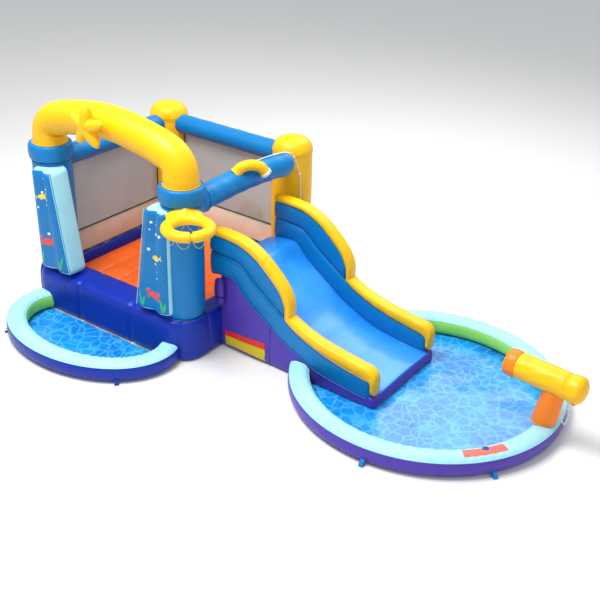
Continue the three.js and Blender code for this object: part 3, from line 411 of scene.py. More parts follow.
def loaf(name, stations, along_x, finish, seams, power=0.3, sides=56, swell=0.012):
    """A long air chamber. Each station is (place, near side, far side, bottom, top)."""
    rings = []
    first, last = stations[0][0], stations[-1][0]
    for place, near, far, low, high in stations:
        gap = min(place - first, last - place)
        round_off = 0.03 * (1 - min(gap / 0.04, 1.0)) ** 2
        pull = pinch(place, seams, 0.014, 0.018) + round_off
        half_side = (far - near) / 2 - pull
        half_up = (high - low) / 2 - pull
        ring = []
        for angle in turns(sides):
            u, v = squared(angle, power)
            side = u * (half_side + swell * math.cos(v * math.pi / 2))
            up = v * half_up
            if v > 0:
                up += swell * math.cos(u * math.pi / 2) * v
            across, height = (near + far) / 2 + side, (low + high) / 2 + up
            ring.append((place, across, height) if along_x else (across, place, height))
        rings.append(ring)
    return loft(name, rings, [finish])


def places(start, end, count):
    return [start + (end - start) * i / count for i in range(count + 1)]


def corner_reach(x):
    """How far from the middle the rounded outline reaches at this x."""
    beyond = max(abs(x) - (HALF - CORNER), 0.0)
    return HALF - CORNER + math.sqrt(max(CORNER**2 - beyond**2, 0.0))


base_seams = (-0.93, -0.35, 0.35, 0.93)
edge_places = [HALF - CORNER + CORNER * math.sin(math.radians(a)) for a in range(0, 91, 6)]
wall_places = sorted({-x for x in edge_places} | set(edge_places) | set(places(-0.8, 0.8, 80)))
front_stations = [(x, -corner_reach(x), front_inner, 0.0, BASE_TOP) for x in wall_places]
settle(loaf("base_step", front_stations, True, royal, base_seams), "base_front_wall")
back_stations = [(x, back_inner, corner_reach(x), 0.0, BASE_TOP) for x in wall_places]
settle(loaf("base_rear", back_stations, True, royal, base_seams), "base_back_wall")
for name, node, side in (("base_left", "base_left_wall", -1), ("base_right", "base_right_wall", 1)):
    near, far = sorted((side * HALF, side * side_inner))
    stations = [(y, near, far, 0.0, BASE_TOP) for y in places(front_inner - 0.03, back_inner + 0.03, 90)]
    wall = loaf(name, stations, False, royal, (-0.2, 0.3), swell=0.006)
    settle(wall, node)

# ---- Bouncing floor ----
# Six orange air tubes of the same coated fabric, side by side. They are quilted crosswise, let into
# the base and sewn round its edge.
orange = coated_fabric("orange_fabric", "orange_fabric", srgb(252, 108, 38))
floor_low, floor_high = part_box("bounce_floor")
FLOOR_TUBES = 6
floor_rings = []
for y in places(floor_low[1] - 0.01, floor_high[1] + 0.01, 96):
    quilt = 1 - pinch(y, (-0.32, 0.06, 0.44), 0.5, 0.03)
    ring = []
    for k in range(FLOOR_TUBES * 14 + 1):
        share = k / (FLOOR_TUBES * 14)
        lobe = abs(math.sin(math.pi * share * FLOOR_TUBES)) ** 0.55
        x = floor_low[0] + (floor_high[0] - floor_low[0]) * share
        ring.append((x, y, floor_high[2] - 0.03 + 0.03 * lobe * quilt))
    ring += [(floor_high[0], y, 0.2), (floor_low[0], y, 0.2)]
    floor_rings.append(ring)
settle(loft("bouncing_floor", floor_rings, [orange]), "bounce_floor")

# ---- Columns ----
# Tall air columns on the base's corners: blue with a swollen collar at the front, yellow with a
# flattened dome at the back. The cloth gathers in small folds where each is sewn round.


def turned(name, profile, centre, finish, gather, folds=18, sides=72):
    """A chamber turned about an upright axis, from (radius, height) points."""
    rings = []
    for radius, height in profile:
        ring = []
        for angle in turns(sides):
            pull = sum(0.0035 * math.exp(-abs(height - seam) / 0.05) for seam in gather)
            r = max(radius + pull * math.sin(folds * angle + 3 * math.sin(3 * angle)), 0.001)
            ring.append(about(centre, angle, r, r, height))
        rings.append(ring)
    return loft(name, rings, [finish])


def centre_of(node):
    low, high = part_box(node)
    return Vector(((low[0] + high[0]) / 2, (low[1] + high[1]) / 2, 0))


def column_body(radius, foot, top, steps=30):
    """Slightly barrelled, and drawn in at its foot."""
    profile = []
    for i in range(steps + 1):
        share = i / steps
        height = foot + (top - foot) * share
        draw_in = 0.035 * math.exp(-((height - foot) / 0.022)) + 0.006 * (2 * share - 1) ** 2
        profile.append((radius - draw_in, height))
    return profile


COLLAR_LOW, COLLAR_TOP = 1.575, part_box("front_left_column")[1][2]
DOME_RISE = 0.158
for name in ("front_left_column", "front_right_column"):
    low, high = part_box(name)
    middle = centre_of(name)
    collar_radius = (high[0] - low[0]) / 2
    profile = column_body(collar_radius - 0.02, BASE_TOP - 0.004, COLLAR_LOW - 0.01)
    for i in range(17):
        angle = math.pi * i / 16
        swollen = collar_radius - 0.035 + 0.035 * math.sin(angle) ** 0.5
        profile.append((swollen, COLLAR_LOW + (COLLAR_TOP - COLLAR_LOW) * (1 - math.cos(angle)) / 2))
    profile += [(collar_radius - 0.07, COLLAR_TOP - 0.004), (0.0, COLLAR_TOP - 0.006)]
    made = turned(name + "_cloth", profile, middle, sky, (BASE_TOP, COLLAR_LOW, COLLAR_TOP))
    settle(made, name)
for name in ("back_left_column", "back_right_column"):
    low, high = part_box(name)
    middle = centre_of(name)
    radius = (high[0] - low[0]) / 2
    dome_foot = high[2] - DOME_RISE
    profile = column_body(radius, BASE_TOP - 0.004, dome_foot)
    for i in range(1, 17):
        angle = math.pi / 2 * i / 16
        profile.append((radius * math.cos(angle) ** 0.6, dome_foot + DOME_RISE * math.sin(angle)))
    made = turned(name + "_cloth", profile, middle, yellow, (BASE_TOP, dome_foot), 14)
    settle(made, name)


# ---- Seam welts and stitching ----
# A narrow folded strip of the chamber's own fabric is sewn into the main seams, and a row of pale
# polyester stitches runs beside it.


def tree_node(tree, kind, inputs=(), settings=None):
    """A geometry node with its settings, and values or links on its inputs."""
    node = tree.nodes.new(kind)
    for key, setting in (settings or {}).items():
        setattr(node, key, setting)
    for key, value in dict(inputs).items():
        socket = node.inputs[key]
        if isinstance(value, bpy.types.NodeSocket):
            tree.links.new(value, socket)
        else:
            socket.default_value = value
    return node


def node_tree(name, sizes):
    """A tree with named sizes and a material. Its mesh of edges comes in as curves, called lines."""
    tree = bpy.data.node_groups.new(name, "GeometryNodeTree")
    tree.interface.new_socket("Geometry", in_out="OUTPUT", socket_type="NodeSocketGeometry")
    tree.interface.new_socket("Geometry", in_out="INPUT", socket_type="NodeSocketGeometry")
    for size in sizes:
        tree.interface.new_socket(size, in_out="INPUT", socket_type="NodeSocketFloat")
    tree.interface.new_socket("Material", in_out="INPUT", socket_type="NodeSocketMaterial")
    given = tree.nodes.new("NodeGroupInput").outputs
    lines = tree_node(tree, "GeometryNodeMeshToCurve", {"Mesh": given["Geometry"]})
    return tree, given, lines, tree.nodes.new("NodeGroupOutput")


def finish_tree(tree, given, result, geometry):
    real = tree_node(tree, "GeometryNodeRealizeInstances", {"Geometry": geometry})
    painted = tree_node(tree, "GeometryNodeSetMaterial", {
        "Geometry": real.outputs[0], "Material": given["Material"],
    })
    tree.links.new(painted.outputs[0], result.inputs[0])


def welt_tree():
    """A round strip along each line."""
    tree, given, lines, result = node_tree("welt", ["Radius"])
    section = tree_node(tree, "GeometryNodeCurvePrimitiveCircle", {"Radius": given["Radius"]})
    section.inputs["Resolution"].default_value = 8
    strip = tree_node(tree, "GeometryNodeCurveToMesh", {
        "Curve": lines.outputs[0], "Profile Curve": section.outputs[0], "Fill Caps": True,
    })
    smooth = tree_node(tree, "GeometryNodeSetShadeSmooth", {"Geometry": strip.outputs[0]})
    finish_tree(tree, given, result, smooth.outputs[0])
    return tree


def row_tree(name, shape, settings, across, deep, along):
    """One small shape after another along each line, in the sizes of the named inputs."""
    tree, given, lines, result = node_tree(name, dict.fromkeys(("Spacing", across, deep, along)))
    spots = tree_node(tree, "GeometryNodeCurveToPoints", {
        "Curve": lines.outputs[0], "Length": given["Spacing"],
    }, {"mode": "LENGTH"})
    one = tree_node(tree, shape, settings)
    size = tree_node(tree, "ShaderNodeCombineXYZ", {
        "X": given[across], "Y": given[deep], "Z": given[along],
    })
    laid = tree_node(tree, "GeometryNodeInstanceOnPoints", {
        "Points": spots.outputs["Points"], "Instance": one.outputs["Mesh"],
        "Rotation": spots.outputs["Rotation"], "Scale": size.outputs[0],
    })
    finish_tree(tree, given, result, laid.outputs[0])
    return tree


def grow(name, tree, lines, sizes, finish, body="root", closed=False):
    """Runs a tree on a set of lines and keeps the plain mesh."""
    points = []
    edges = []
    for line in lines:
        start = len(points)
        points += [tuple(p) for p in line]
        edges += [(start + i, start + i + 1) for i in range(len(line) - 1)]
        if closed:
            edges.append((len(points) - 1, start))
    guide_mesh = bpy.data.meshes.new(name + "_guide")
    guide_mesh.from_pydata(points, edges, [])
    guide = linked(name + "_guide", guide_mesh)
    modifier = guide.modifiers.new("grow", "NODES")
    modifier.node_group = tree
    for item in tree.interface.items_tree:
        if item.in_out == "INPUT" and item.name in sizes:
            modifier[item.identifier] = sizes[item.name]
        elif item.in_out == "INPUT" and item.name == "Material":
            modifier[item.identifier] = finish.material
    guide.update_tag()
    evaluated = guide.evaluated_get(bpy.context.evaluated_depsgraph_get())
    mesh = bpy.data.meshes.new_from_object(evaluated)
    bpy.data.objects.remove(guide)
    made = linked(name, mesh)
    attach(made, body)
    return made


welt = welt_tree()
round_thread = {"Segments": 6, "Rings": 4, "Radius": 0.5}
stitches = row_tree("stitches", "GeometryNodeMeshUVSphere", round_thread, "Thread", "Thread", "Length")
thread_finish = coated_fabric("pale_thread", "aqua_fabric", srgb(215, 225, 230), 0.5)


def circle(centre, radius, height, count=72):
    return [about(centre, a, radius, radius, height) for a in turns(count)]


front_centres = [centre_of("front_left_column"), centre_of("front_right_column")]
back_centres = [centre_of("back_left_column"), centre_of("back_right_column")]
arch_seams = [circle(c, 0.168, COLLAR_TOP + 0.004) for c in front_centres]
grow("arch_leg_welts", welt, arch_seams, {"Radius": 0.005}, yellow, closed=True)
collar_seams = [circle(c, 0.191, COLLAR_LOW - 0.012) for c in front_centres]
foot_seams = [circle(c, 0.17, BASE_TOP + 0.003) for c in front_centres]
grow("collar_welts", welt, collar_seams + foot_seams, {"Radius": 0.004}, sky, closed=True)
back_seams = [circle(c, 0.188, BASE_TOP + 0.003) for c in back_centres]
grow("back_column_welts", welt, back_seams, {"Radius": 0.004}, yellow, closed=True)
foot_stitches = [circle(c, 0.196, BASE_TOP + 0.016) for c in front_centres]
grow("column_stitches", stitches, foot_stitches, {"Spacing": 0.012, "Length": 0.008, "Thread": 0.0018},
     thread_finish, closed=True)

# ---- Entrance arch ----
# One yellow tube from collar to collar. It creases at the inside of each elbow and gathers where
# its legs are sewn to the collars.
arch_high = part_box("entrance_arch")[1]
ARCH_RADIUS = 0.165
column_x = front_centres[1].x
column_y = front_centres[1].y
arch_rise = arch_high[2] - ARCH_RADIUS - COLLAR_TOP
arch_half = [
    (column_x, -0.02), (column_x - 0.002, 0.16), (column_x - 0.020, 0.40), (column_x - 0.092, 0.62),
    (column_x - 0.24, 0.77), (column_x - 0.45, 0.885), (column_x - 0.65, 0.97),
]
arch_points = [(x, column_y, COLLAR_TOP + arch_rise * share) for x, share in arch_half]
arch_points += [(0.0, column_y, COLLAR_TOP + arch_rise)]
arch_points += [(-x, column_y, COLLAR_TOP + arch_rise * share) for x, share in reversed(arch_half)]


def arch_skin(share, angle):
    near_end = min(share, 1 - share)
    gathered = 0.004 * math.exp(-near_end / 0.02) * math.sin(16 * angle)
    elbow = math.exp(-(((near_end - 0.105) / 0.03) ** 2))
    inner = max(math.cos(angle - arch_inside), 0.0) ** 2
    ruck = 0.006 * elbow * math.sin(near_end * 330)
    return ARCH_RADIUS - 0.002 + gathered - (0.034 * elbow - ruck) * inner


arch_line = spline(arch_points, 150)
first_ring = cross_sections(arch_line, lambda share, angle: ARCH_RADIUS, 4)[30]
toward_middle = Vector((0, column_y, 1.2)) - arch_line[30]
arch_inside = max(range(4), key=lambda k: (first_ring[k] - arch_line[30]).dot(toward_middle)) * math.pi / 2
arch = loft("arch_tube", cross_sections(arch_line, arch_skin, 64), [yellow])
settle(arch, "entrance_arch")

# ---- Star ----
# A soft five-armed star of yellow fabric, blown up on its own and sewn to the arch's front. Its edge
# puckers along the seam.
star_low, star_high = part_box("star_figure")
star_middle = Vector((-0.028, (star_low[1] + star_high[1]) / 2, 2.127))
STAR_ARM, STAR_WAIST = 0.214, 0.098
star_half = (star_high[1] - star_low[1]) / 2
star_rings = []
for j in range(25):
    tilt = math.radians(-90 + 180 * j / 24)
    ring = []
    for angle in turns(150):
        arm = (0.5 + 0.5 * math.cos(5 * (angle - math.pi / 2))) ** 1.15
        reach = STAR_WAIST + (STAR_ARM - STAR_WAIST) * arm
        swell = math.cos(tilt) ** 0.55
        pucker = 0.003 * math.sin(angle * 45) * math.cos(tilt) ** 8
        depth = star_half * math.sin(tilt) * (1.05 - 0.25 * (reach * swell / STAR_ARM) ** 2)
        r = (reach - 0.002) * swell + pucker
        ring.append(star_middle + Vector((r * math.cos(angle), depth, r * math.sin(angle))))
    star_rings.append(ring)
star = loft("star_cushion", star_rings, [yellow])
settle(star, "star_figure")

# ---- Rails ----
# Blue tubes between the columns' heads. The right one is a wide sleeve that bows out over the
# slide's mouth and ends in a round cap beside the back column.


def rail_skin(radius, folds=12):
    def skin(share, angle):
        near_end = min(share, 1 - share)
        gathered = 0.004 * math.exp(-near_end / 0.03) * math.sin(folds * angle)
        soft = 0.0015 * math.sin(share * 31 + 2 * math.sin(angle)) * math.sin(angle * 2 + share * 9)
        return radius - 0.002 + gathered + soft
    return skin


rail_height = 1.54
back_x, back_y = back_centres[1].x, back_centres[1].y
rail_gap = 0.165
for name, start, end in (
    ("left_rail", (-column_x, column_y + rail_gap, rail_height), (-back_x, back_y - rail_gap, rail_height)),
    ("back_rail", (-back_x + rail_gap, back_y, rail_height), (back_x - rail_gap, back_y, rail_height)),
):
    line = spline([start, Vector(start).lerp(Vector(end), 0.5), end], 90)
    settle(loft(name + "_tube", cross_sections(line, rail_skin(0.105), 48), [sky]), name)

RIGHT_RADIUS = 0.122
right_points = [
    (column_x, column_y + 0.14, 1.515), (column_x, column_y + 0.42, 1.520), (column_x + 0.005, -0.05, 1.535),
    (column_x + 0.045, 0.26, 1.550), (column_x + 0.112, 0.53, 1.560), (column_x + 0.146, 0.647, 1.563),
]
right_line = spline(right_points, 130)
right_length = sum((b - a).length for a, b in zip(right_line, right_line[1:]))


def right_skin(share, angle):
    left_over = (1 - share) * right_length
    cap = math.sqrt(max(1 - (1 - min(left_over / RIGHT_RADIUS, 1)) ** 2, 0.0))
    sleeve = 0.006 if share * right_length < 0.15 else 0.0
    fold = 0.002 * math.sin(share * 46 + 2 * math.sin(angle))
    fold += 0.003 * math.exp(-share / 0.05) * math.sin(14 * angle)
    return max((RIGHT_RADIUS - 0.004 + sleeve + fold) * cap, 0.0005)


right_rail = loft("right_rail_tube", cross_sections(right_line, right_skin, 56), [sky])
settle(right_rail, "right_rail")
sleeve_edge = [right_line[11] + (p - right_line[11]) * 1.02
               for p in cross_sections(right_line, lambda share, angle: RIGHT_RADIUS + 0.004, 48)[11]]
grow("right_rail_edge", welt, [sleeve_edge], {"Radius": 0.0035}, sky, closed=True)

# ---- Net walls and skirts ----
# Grey polyester safety net stretched under the rails, over beige skirts. Both are bound with dark
# green tape and sewn to the rail, the base and the columns.


def net_finish():
    finish = Finish("grey_net", "net_mesh")
    along = (finish.x + finish.y) * 1700
    up = finish.z * 1700
    cord_lines = (along.math("SINE") * 0.5 + 0.5).smooth(0.35, 0.75)
    cord_lines += (up.math("SINE") * 0.5 + 0.5).smooth(0.35, 0.75)
    knots = finish.noise(3.0, 4.0)
    finish.set(Base_Color=knots.smooth(0.2, 0.8).between(srgb(196, 198, 199), srgb(214, 215, 215)))
    finish.set(Roughness=knots * 0.2 + 0.65, Alpha=cord_lines.smooth(0.0, 0.9) * 0.2 + 0.58)
    finish.bump(cord_lines + knots * 3, 0.0015)
    return finish


def cloth_finish(name, slot, colour, weave=900):
    finish = Finish(name, slot)
    broad = finish.noise(4.0, 4.0)
    weft = (finish.z * weave * 2).math("SINE") + ((finish.x + finish.y) * weave * 2).math("SINE")
    finish.set(Base_Color=broad.smooth(0.25, 0.75).between(shade(colour, 0.9), shade(colour, 1.06)))
    finish.set(Roughness=broad * 0.15 + 0.68)
    finish.bump(weft * 0.02 + broad, 0.008)
    return finish


net = net_finish()
beige = cloth_finish("beige_skirt", "skirt_fabric", srgb(215, 208, 190))
dark_green = cloth_finish("dark_green_binding", "skirt_fabric", srgb(20, 84, 62))


def thin_sheet(name, front, rear, columns, rows, finish):
    """A closed sheet from two grids of places, joined round the rim."""
    faces = []
    total, wide = len(front), columns + 1
    for j in range(rows):
        for i in range(columns):
            a = j * wide + i
            faces.append((a, a + 1, a + 1 + wide, a + wide))
            faces.append((total + a, total + a + wide, total + a + 1 + wide, total + a + 1))
    rim = list(range(wide)) + [j * wide + columns for j in range(1, rows + 1)]
    rim += [rows * wide + i for i in range(columns - 1, -1, -1)]
    rim += [j * wide for j in range(rows - 1, 0, -1)]
    faces += [(a, total + a, total + b, b) for a, b in zip(rim, rim[1:] + rim[:1])]
    return mesh_object(name, front + rear, faces, [finish])


def stretched_cloth(name, start, end, low, high, finish, belly, out):
    """A thin upright sheet from start to end (x, y), bellied a little along out."""
    columns, rows = 60, 24
    front, rear = [], []
    for j in range(rows + 1):
        for i in range(columns + 1):
            across, up = i / columns, j / rows
            bend = belly * math.sin(math.pi * across) * math.sin(math.pi * up)
            ripple = 0.002 * math.sin(across * 40) * math.exp(-min(up, 1 - up) / 0.12)
            x = start[0] + (end[0] - start[0]) * across + out[0] * (bend + ripple)
            y = start[1] + (end[1] - start[1]) * across + out[1] * (bend + ripple)
            z = low + (high - low) * up
            front.append((x + out[0] * 0.001, y + out[1] * 0.001, z))
            rear.append((x - out[0] * 0.001, y - out[1] * 0.001, z))
    return thin_sheet(name, front, rear, columns, rows, finish)


SKIRT_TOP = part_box("left_net_skirt")[1][2]
net_top = rail_height - 0.098
for side, start, end, out, rail in (
    ("left", (-column_x, column_y + 0.17), (-back_x, back_y - 0.18), (1, 0), "left_rail_tube"),
    ("back", (-back_x + 0.18, back_y), (back_x - 0.18, back_y), (0, -1), "back_rail_tube"),
):
    skirt = stretched_cloth(side + "_skirt_cloth", start, end, BASE_TOP - 0.006, SKIRT_TOP, beige, 0.012,
                            out)
    settle(skirt, side + "_net_skirt")
    mesh_net = stretched_cloth(side + "_net_cloth", start, end, SKIRT_TOP + 0.001, net_top, net, 0.016, out)
    settle(mesh_net, side + "_net")
    binding = []
    for height in (SKIRT_TOP, BASE_TOP + 0.012):
        binding.append([Vector((*start, height)), Vector((*end, height))])
    for share in (0.035, 0.965):
        foot = Vector((*start, SKIRT_TOP)).lerp(Vector((*end, SKIRT_TOP)), share)
        binding.append([foot, Vector((foot.x, foot.y, net_top))])
    grow(side + "_net_binding", welt, binding, {"Radius": 0.009}, dark_green)

# ---- Printed panels ----
# Padded panels on both sides of the entrance: two upright air pockets each, blue at the front and
# aqua round the sides, printed with plain sea shapes.
PANEL_INNER_FOOT, PANEL_INNER_TOP = 0.45, 0.615
panel_low, panel_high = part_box("front_right_panel")
PANEL_TOP = panel_high[2]
PANEL_OUTER = panel_high[0]
panel_front = panel_low[1]
panel_back = panel_high[1]


def panel(side, name, node):
    """One panel, as level sections from its foot to its top."""
    rings = []
    heights = places(panel_low[2], PANEL_TOP, 64)
    for i, height in enumerate(heights):
        share = i / (len(heights) - 1)
        edge = 0.028 * (1 - min(min(share, 1 - share) / 0.045, 1.0)) ** 2
        inner = PANEL_INNER_FOOT + (PANEL_INNER_TOP - PANEL_INNER_FOOT) * share + edge
        outer = PANEL_OUTER + 0.012 - edge
        ring = []
        for angle in turns(96):
            u, v = squared(angle, 0.26)
            x = (inner + outer) / 2 + u * (outer - inner) / 2
            pocket = abs(math.sin(math.pi * (u + 1))) ** 0.6
            front = panel_front + edge + 0.034 * (1 - pocket)
            y = (front + panel_back) / 2 + v * (panel_back - edge - front) / 2
            ring.append((side * x, y, height))
        rings.append(ring)

    def tint(i, k):
        angle = 2 * math.pi * (k + 0.5) / 96
        return 0 if math.sin(angle) < -0.58 and 1 < i < 63 else 1

    return settle(loft(name, rings, [sky, aqua], tint), node)


left_panel = panel(-1, "left_panel_cushion", "front_left_panel")
right_panel = panel(1, "right_panel_cushion", "front_right_panel")
for side, name in ((-1, "left"), (1, "right")):
    edge_line = []
    for share in places(0.02, 0.98, 40):
        x = PANEL_INNER_FOOT + (PANEL_INNER_TOP - PANEL_INNER_FOOT) * share
        height = panel_low[2] + (PANEL_TOP - panel_low[2]) * share
        edge_line.append(Vector((side * (x + 0.006), panel_front + 0.026, height)))
    grow(name + "_panel_welt", welt, [edge_line], {"Radius": 0.004}, aqua)


def skin_of(made):
    """A finder for places on a finished piece's skin."""
    return BVHTree.FromObject(made, bpy.context.evaluated_depsgraph_get())


def print_shape(outline, surface, place_of, way, lift, steps=12):
    """A closed film over an outline round (0, 0), laid on a surface by rays along way."""
    def land(u, v):
        start = place_of(u, v)
        return surface.ray_cast(start, way)[0] or surface.find_nearest(start)[0]

    points = []
    for j in range(1, steps + 1):
        for u, v in outline:
            points.append(land(u * j / steps, v * j / steps) - way * lift)
    count = len(outline)
    points += [p + way * (lift + 0.003) for p in points[-count:]]
    faces = [tuple(range(count))]
    for j in range(steps):
        for k in range(count):
            turn = (k + 1) % count
            faces.append((j * count + k, j * count + turn, (j + 1) * count + turn, (j + 1) * count + k))
    faces.append(tuple(range(steps * count, (steps + 1) * count)))
    return points, faces


def print_on(name, shapes, surface, place_of, way, finish, lift=0.0012):
    points, faces = [], []
    for (u0, v0), outline in shapes:
        start = len(points)
        some, more = print_shape(outline, surface, lambda u, v, a=u0, b=v0: place_of(a + u, b + v), way,
                                 lift)
        points += some
        faces += [tuple(start + i for i in face) for face in more]
    return settle(mesh_object(name, points, faces, [finish]))


def oval(wide, high, turn=0.0, count=28):
    c, s = math.cos(turn), math.sin(turn)
    outline = []
    for angle in turns(count):
        u, v = wide * math.cos(angle), high * math.sin(angle)
        outline.append((u * c - v * s, u * s + v * c))
    return outline


def fish(at, size, turn):
    """A body and a forked tail."""
    c, s = math.cos(turn), math.sin(turn)
    tail = [(size * (u * c - v * s), size * (u * s + v * c))
            for u, v in ((-0.5, 0), (0.35, 0.5), (0.15, 0), (0.35, -0.5))]
    tail_at = (at[0] + 1.25 * size * c, at[1] + 1.25 * size * s)
    return [(at, oval(size, 0.55 * size, turn)), (tail_at, tail)]


ink_coral = coated_fabric("coral_print", "pool_print", srgb(235, 84, 62))
ink_white = coated_fabric("white_print", "pool_print", srgb(232, 244, 248))
ink_lemon = coated_fabric("lemon_print", "pool_print", srgb(246, 214, 66))
ink_leaf = coated_fabric("leaf_print", "pool_print", srgb(62, 176, 112))
ink_navy = coated_fabric("navy_print", "pool_print", srgb(22, 60, 130))
into_panel = Vector((0, 1, 0))
for side, made, label in ((-1, left_panel, "left"), (1, right_panel, "right")):
    surface = skin_of(made)

    def on_panel(u, v, side=side):
        return Vector((side * u, -1.5, v))

    yellow_fish = fish((0.745, 1.06), 0.052, 0.25) if side > 0 else fish((0.735, 1.26), 0.05, -0.2)
    eye = (0.715, 1.065) if side > 0 else (0.705, 1.275)
    crab_at = (0.70, 0.66) if side > 0 else (0.72, 0.78)
    crab = [(crab_at, oval(0.058, 0.038))]
    for way, tilt in ((-1, 0.7), (1, -0.7)):
        crab.append(((crab_at[0] + way * 0.07, crab_at[1] + 0.045), oval(0.025, 0.017, tilt)))
        for step in (-0.018, 0.0, 0.018):
            crab.append(((crab_at[0] + way * 0.066, crab_at[1] - 0.012 + step),
                         oval(0.016, 0.005, way * -0.4)))
    random.seed(4 + side)
    bubbles = []
    for _ in range(9):
        bubble_at = (random.uniform(0.66, 0.82), random.uniform(0.85, 1.46))
        size = random.uniform(0.006, 0.015)
        bubbles.append((bubble_at, oval(size, size)))
    blades = ((0.54, 0.075, 0.2), (0.575, 0.055, -0.25), (0.80, 0.07, 0.15), (0.83, 0.05, -0.2))
    weeds = [((x, panel_low[2] + 0.05 + tall), oval(0.012, tall, lean)) for x, tall, lean in blades]
    for what, shapes, ink in (
        ("fish", yellow_fish, ink_lemon), ("eye", [(eye, oval(0.007, 0.007))], ink_navy),
        ("crab", crab, ink_coral), ("bubble", bubbles, ink_white), ("weed", weeds, ink_leaf),
    ):
        print_on(f"{label}_{what}_print", shapes, surface, on_panel, into_panel, ink)

# ---- Pools ----
# Two rings of aqua fabric, lime inside. The big one, at the slide's end, is purple outside and the
# small one, at the step, is royal blue. Printed floors lie flat on the ground inside them.
purple = coated_fabric("purple_fabric", "purple_fabric", srgb(78, 58, 166))
lime = coated_fabric("lime_fabric", "aqua_fabric", srgb(150, 226, 100))
slide_low, slide_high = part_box("slide_base")
SLIDE_HALF = slide_high[1]
RING_WIDTH = 0.203
small_low, small_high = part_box("small_pool_ring")
small_centre = Vector((0, -1.209, 0))
small_reach = Vector((small_high[0], -(small_low[1] - small_centre.y), 0))
pool_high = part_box("big_pool_ring")[1]
RING_TOP = pool_high[2]
pool_centre = Vector((POOL_X, 0, 0))
pool_reach = Vector((pool_high[0] - pool_centre.x, pool_high[1], 0))


def stop_at_slide(a, b):
    turn = math.pi - math.asin((SLIDE_HALF + 0.001) / b)
    return -turn, turn


def stop_at_step(a, b):
    rise = 0.15
    for _ in range(30):
        rise = math.asin((-small_centre.y - corner_reach(a * math.cos(rise)) - 0.001) / b)
    return -math.pi - rise, rise


def pool_ring(name, node, centre, reach, stop, outer_finish, steps, sides=44):
    profile = [squared(angle, 0.75) for angle in turns(sides)]
    wide = RING_WIDTH / 2
    rings = []
    for i in range(steps + 1):
        ring = []
        for u, v in profile:
            a, b = reach.x - wide + u * wide, reach.y - wide + u * wide
            low, high = stop(a, b)
            turn = low + (high - low) * i / steps
            pucker = 0.0035 * math.sin(turn * 70 + 3 * math.sin(turn * 9))
            pucker *= math.exp(-(((abs(u) - 0.62) / 0.2) ** 2))
            swell = 1 + (pucker if v > 0 else 0) * 4
            a, b = reach.x - wide + u * wide * swell, reach.y - wide + u * wide * swell
            z = 0.003 + (RING_TOP - 0.003) * (0.5 + 0.5 * v) + (pucker if v > 0 else 0)
            ring.append(about(centre, turn, a, b, z))
        rings.append(ring)

    def tint(i, k):
        angle = math.degrees(2 * math.pi * (k + 0.5) / sides)
        if 32 < angle < 148:
            return 0
        return 1 if 90 < angle < 270 else 2

    settle(loft(name, rings, [aqua, lime, outer_finish], tint), node)
    edges = []
    for angle in (32, 148):
        u, v = squared(math.radians(angle), 0.75)
        a, b = reach.x - wide + u * wide, reach.y - wide + u * wide
        z = 0.003 + (RING_TOP - 0.003) * (0.5 + 0.5 * v)
        edges.append([about(centre, turn, a, b, z) for turn in places(*stop(a, b), steps)])
    grow(name + "_welts", welt, edges, {"Radius": 0.0032}, aqua)


pool_ring("big_pool_tube", "big_pool_ring", pool_centre, pool_reach, stop_at_slide, purple, 300)
pool_ring("small_pool_tube", "small_pool_ring", small_centre, small_reach, stop_at_step, royal, 220)


def floor_finish():
    finish = Finish("printed_pool_floor", "pool_print")
    warp = finish.noise(2.4, 3.0)
    moved = finish.node("ShaderNodeVectorMath", {"operation": "ADD"}, (finish.place, warp * 0.18))
    cells = finish.node("ShaderNodeTexVoronoi", {"feature": "DISTANCE_TO_EDGE"},
                        {"Vector": moved, "Scale": 9.0}, "Distance")
    finer = finish.node("ShaderNodeTexVoronoi", {"feature": "DISTANCE_TO_EDGE"},
                        {"Vector": moved, "Scale": 21.0}, "Distance")
    blue = warp.smooth(0.3, 0.7).between(srgb(0, 112, 206), srgb(0, 142, 228))
    lined = (1 - cells.smooth(0.0, 0.12)) * 0.42 + (1 - finer.smooth(0.0, 0.09)) * 0.22
    finish.set(Base_Color=lined.between(blue, srgb(96, 196, 244)), Roughness=warp * 0.15 + 0.2)
    finish.set(Coat_Weight=warp * 0.2 + 0.2)
    finish.bump(finish.noise(9.0, 4.0) + warp, 0.012, 0.6)
    return finish


printed_floor = floor_finish()


def pool_floor(name, node, centre, reach, cut):
    """A flat sheet under the ring, a little rucked, cut away where the piece above ends."""
    wide = RING_WIDTH / 2
    a, b = reach.x - wide, reach.y - wide
    rings = []
    count = 140
    for j in range(31):
        share = j / 30
        ring = []
        for k in range(count):
            turn = 2 * math.pi * k / count
            x, y = cut(centre.x + a * share * math.cos(turn), centre.y + b * share * math.sin(turn))
            ruck = 0.0016 * (1 + math.sin(turn * 11 + share * 7)) * math.exp(-(((share - 0.8) / 0.12) ** 2))
            ruck += 0.0012 * (1 + math.sin(x * 13 + 2 * math.sin(y * 9)))
            ring.append(Vector((x, y, 0.0022 + ruck)))
        rings.append(ring)
    points = [p for ring in rings for p in ring]
    total = len(points)
    points += [Vector((p.x, p.y, 0.0004)) for p in rings[-1]]
    faces = []
    for j in range(30):
        for k in range(count):
            turn = (k + 1) % count
            faces.append((j * count + k, j * count + turn, (j + 1) * count + turn, (j + 1) * count + k))
    faces += [(total - count + k, total - count + (k + 1) % count, total + (k + 1) % count, total + k)
              for k in range(count)]
    faces.append(tuple(range(total, total + count)))
    made = settle(mesh_object(name, points, faces, [printed_floor]), node)


big_floor_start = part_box("big_pool_floor")[0][0]
small_floor_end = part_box("small_pool_floor")[1][1]


def before_slide(x, y):
    return max(x, big_floor_start), y


def before_step(x, y):
    return x, min(y, small_floor_end)


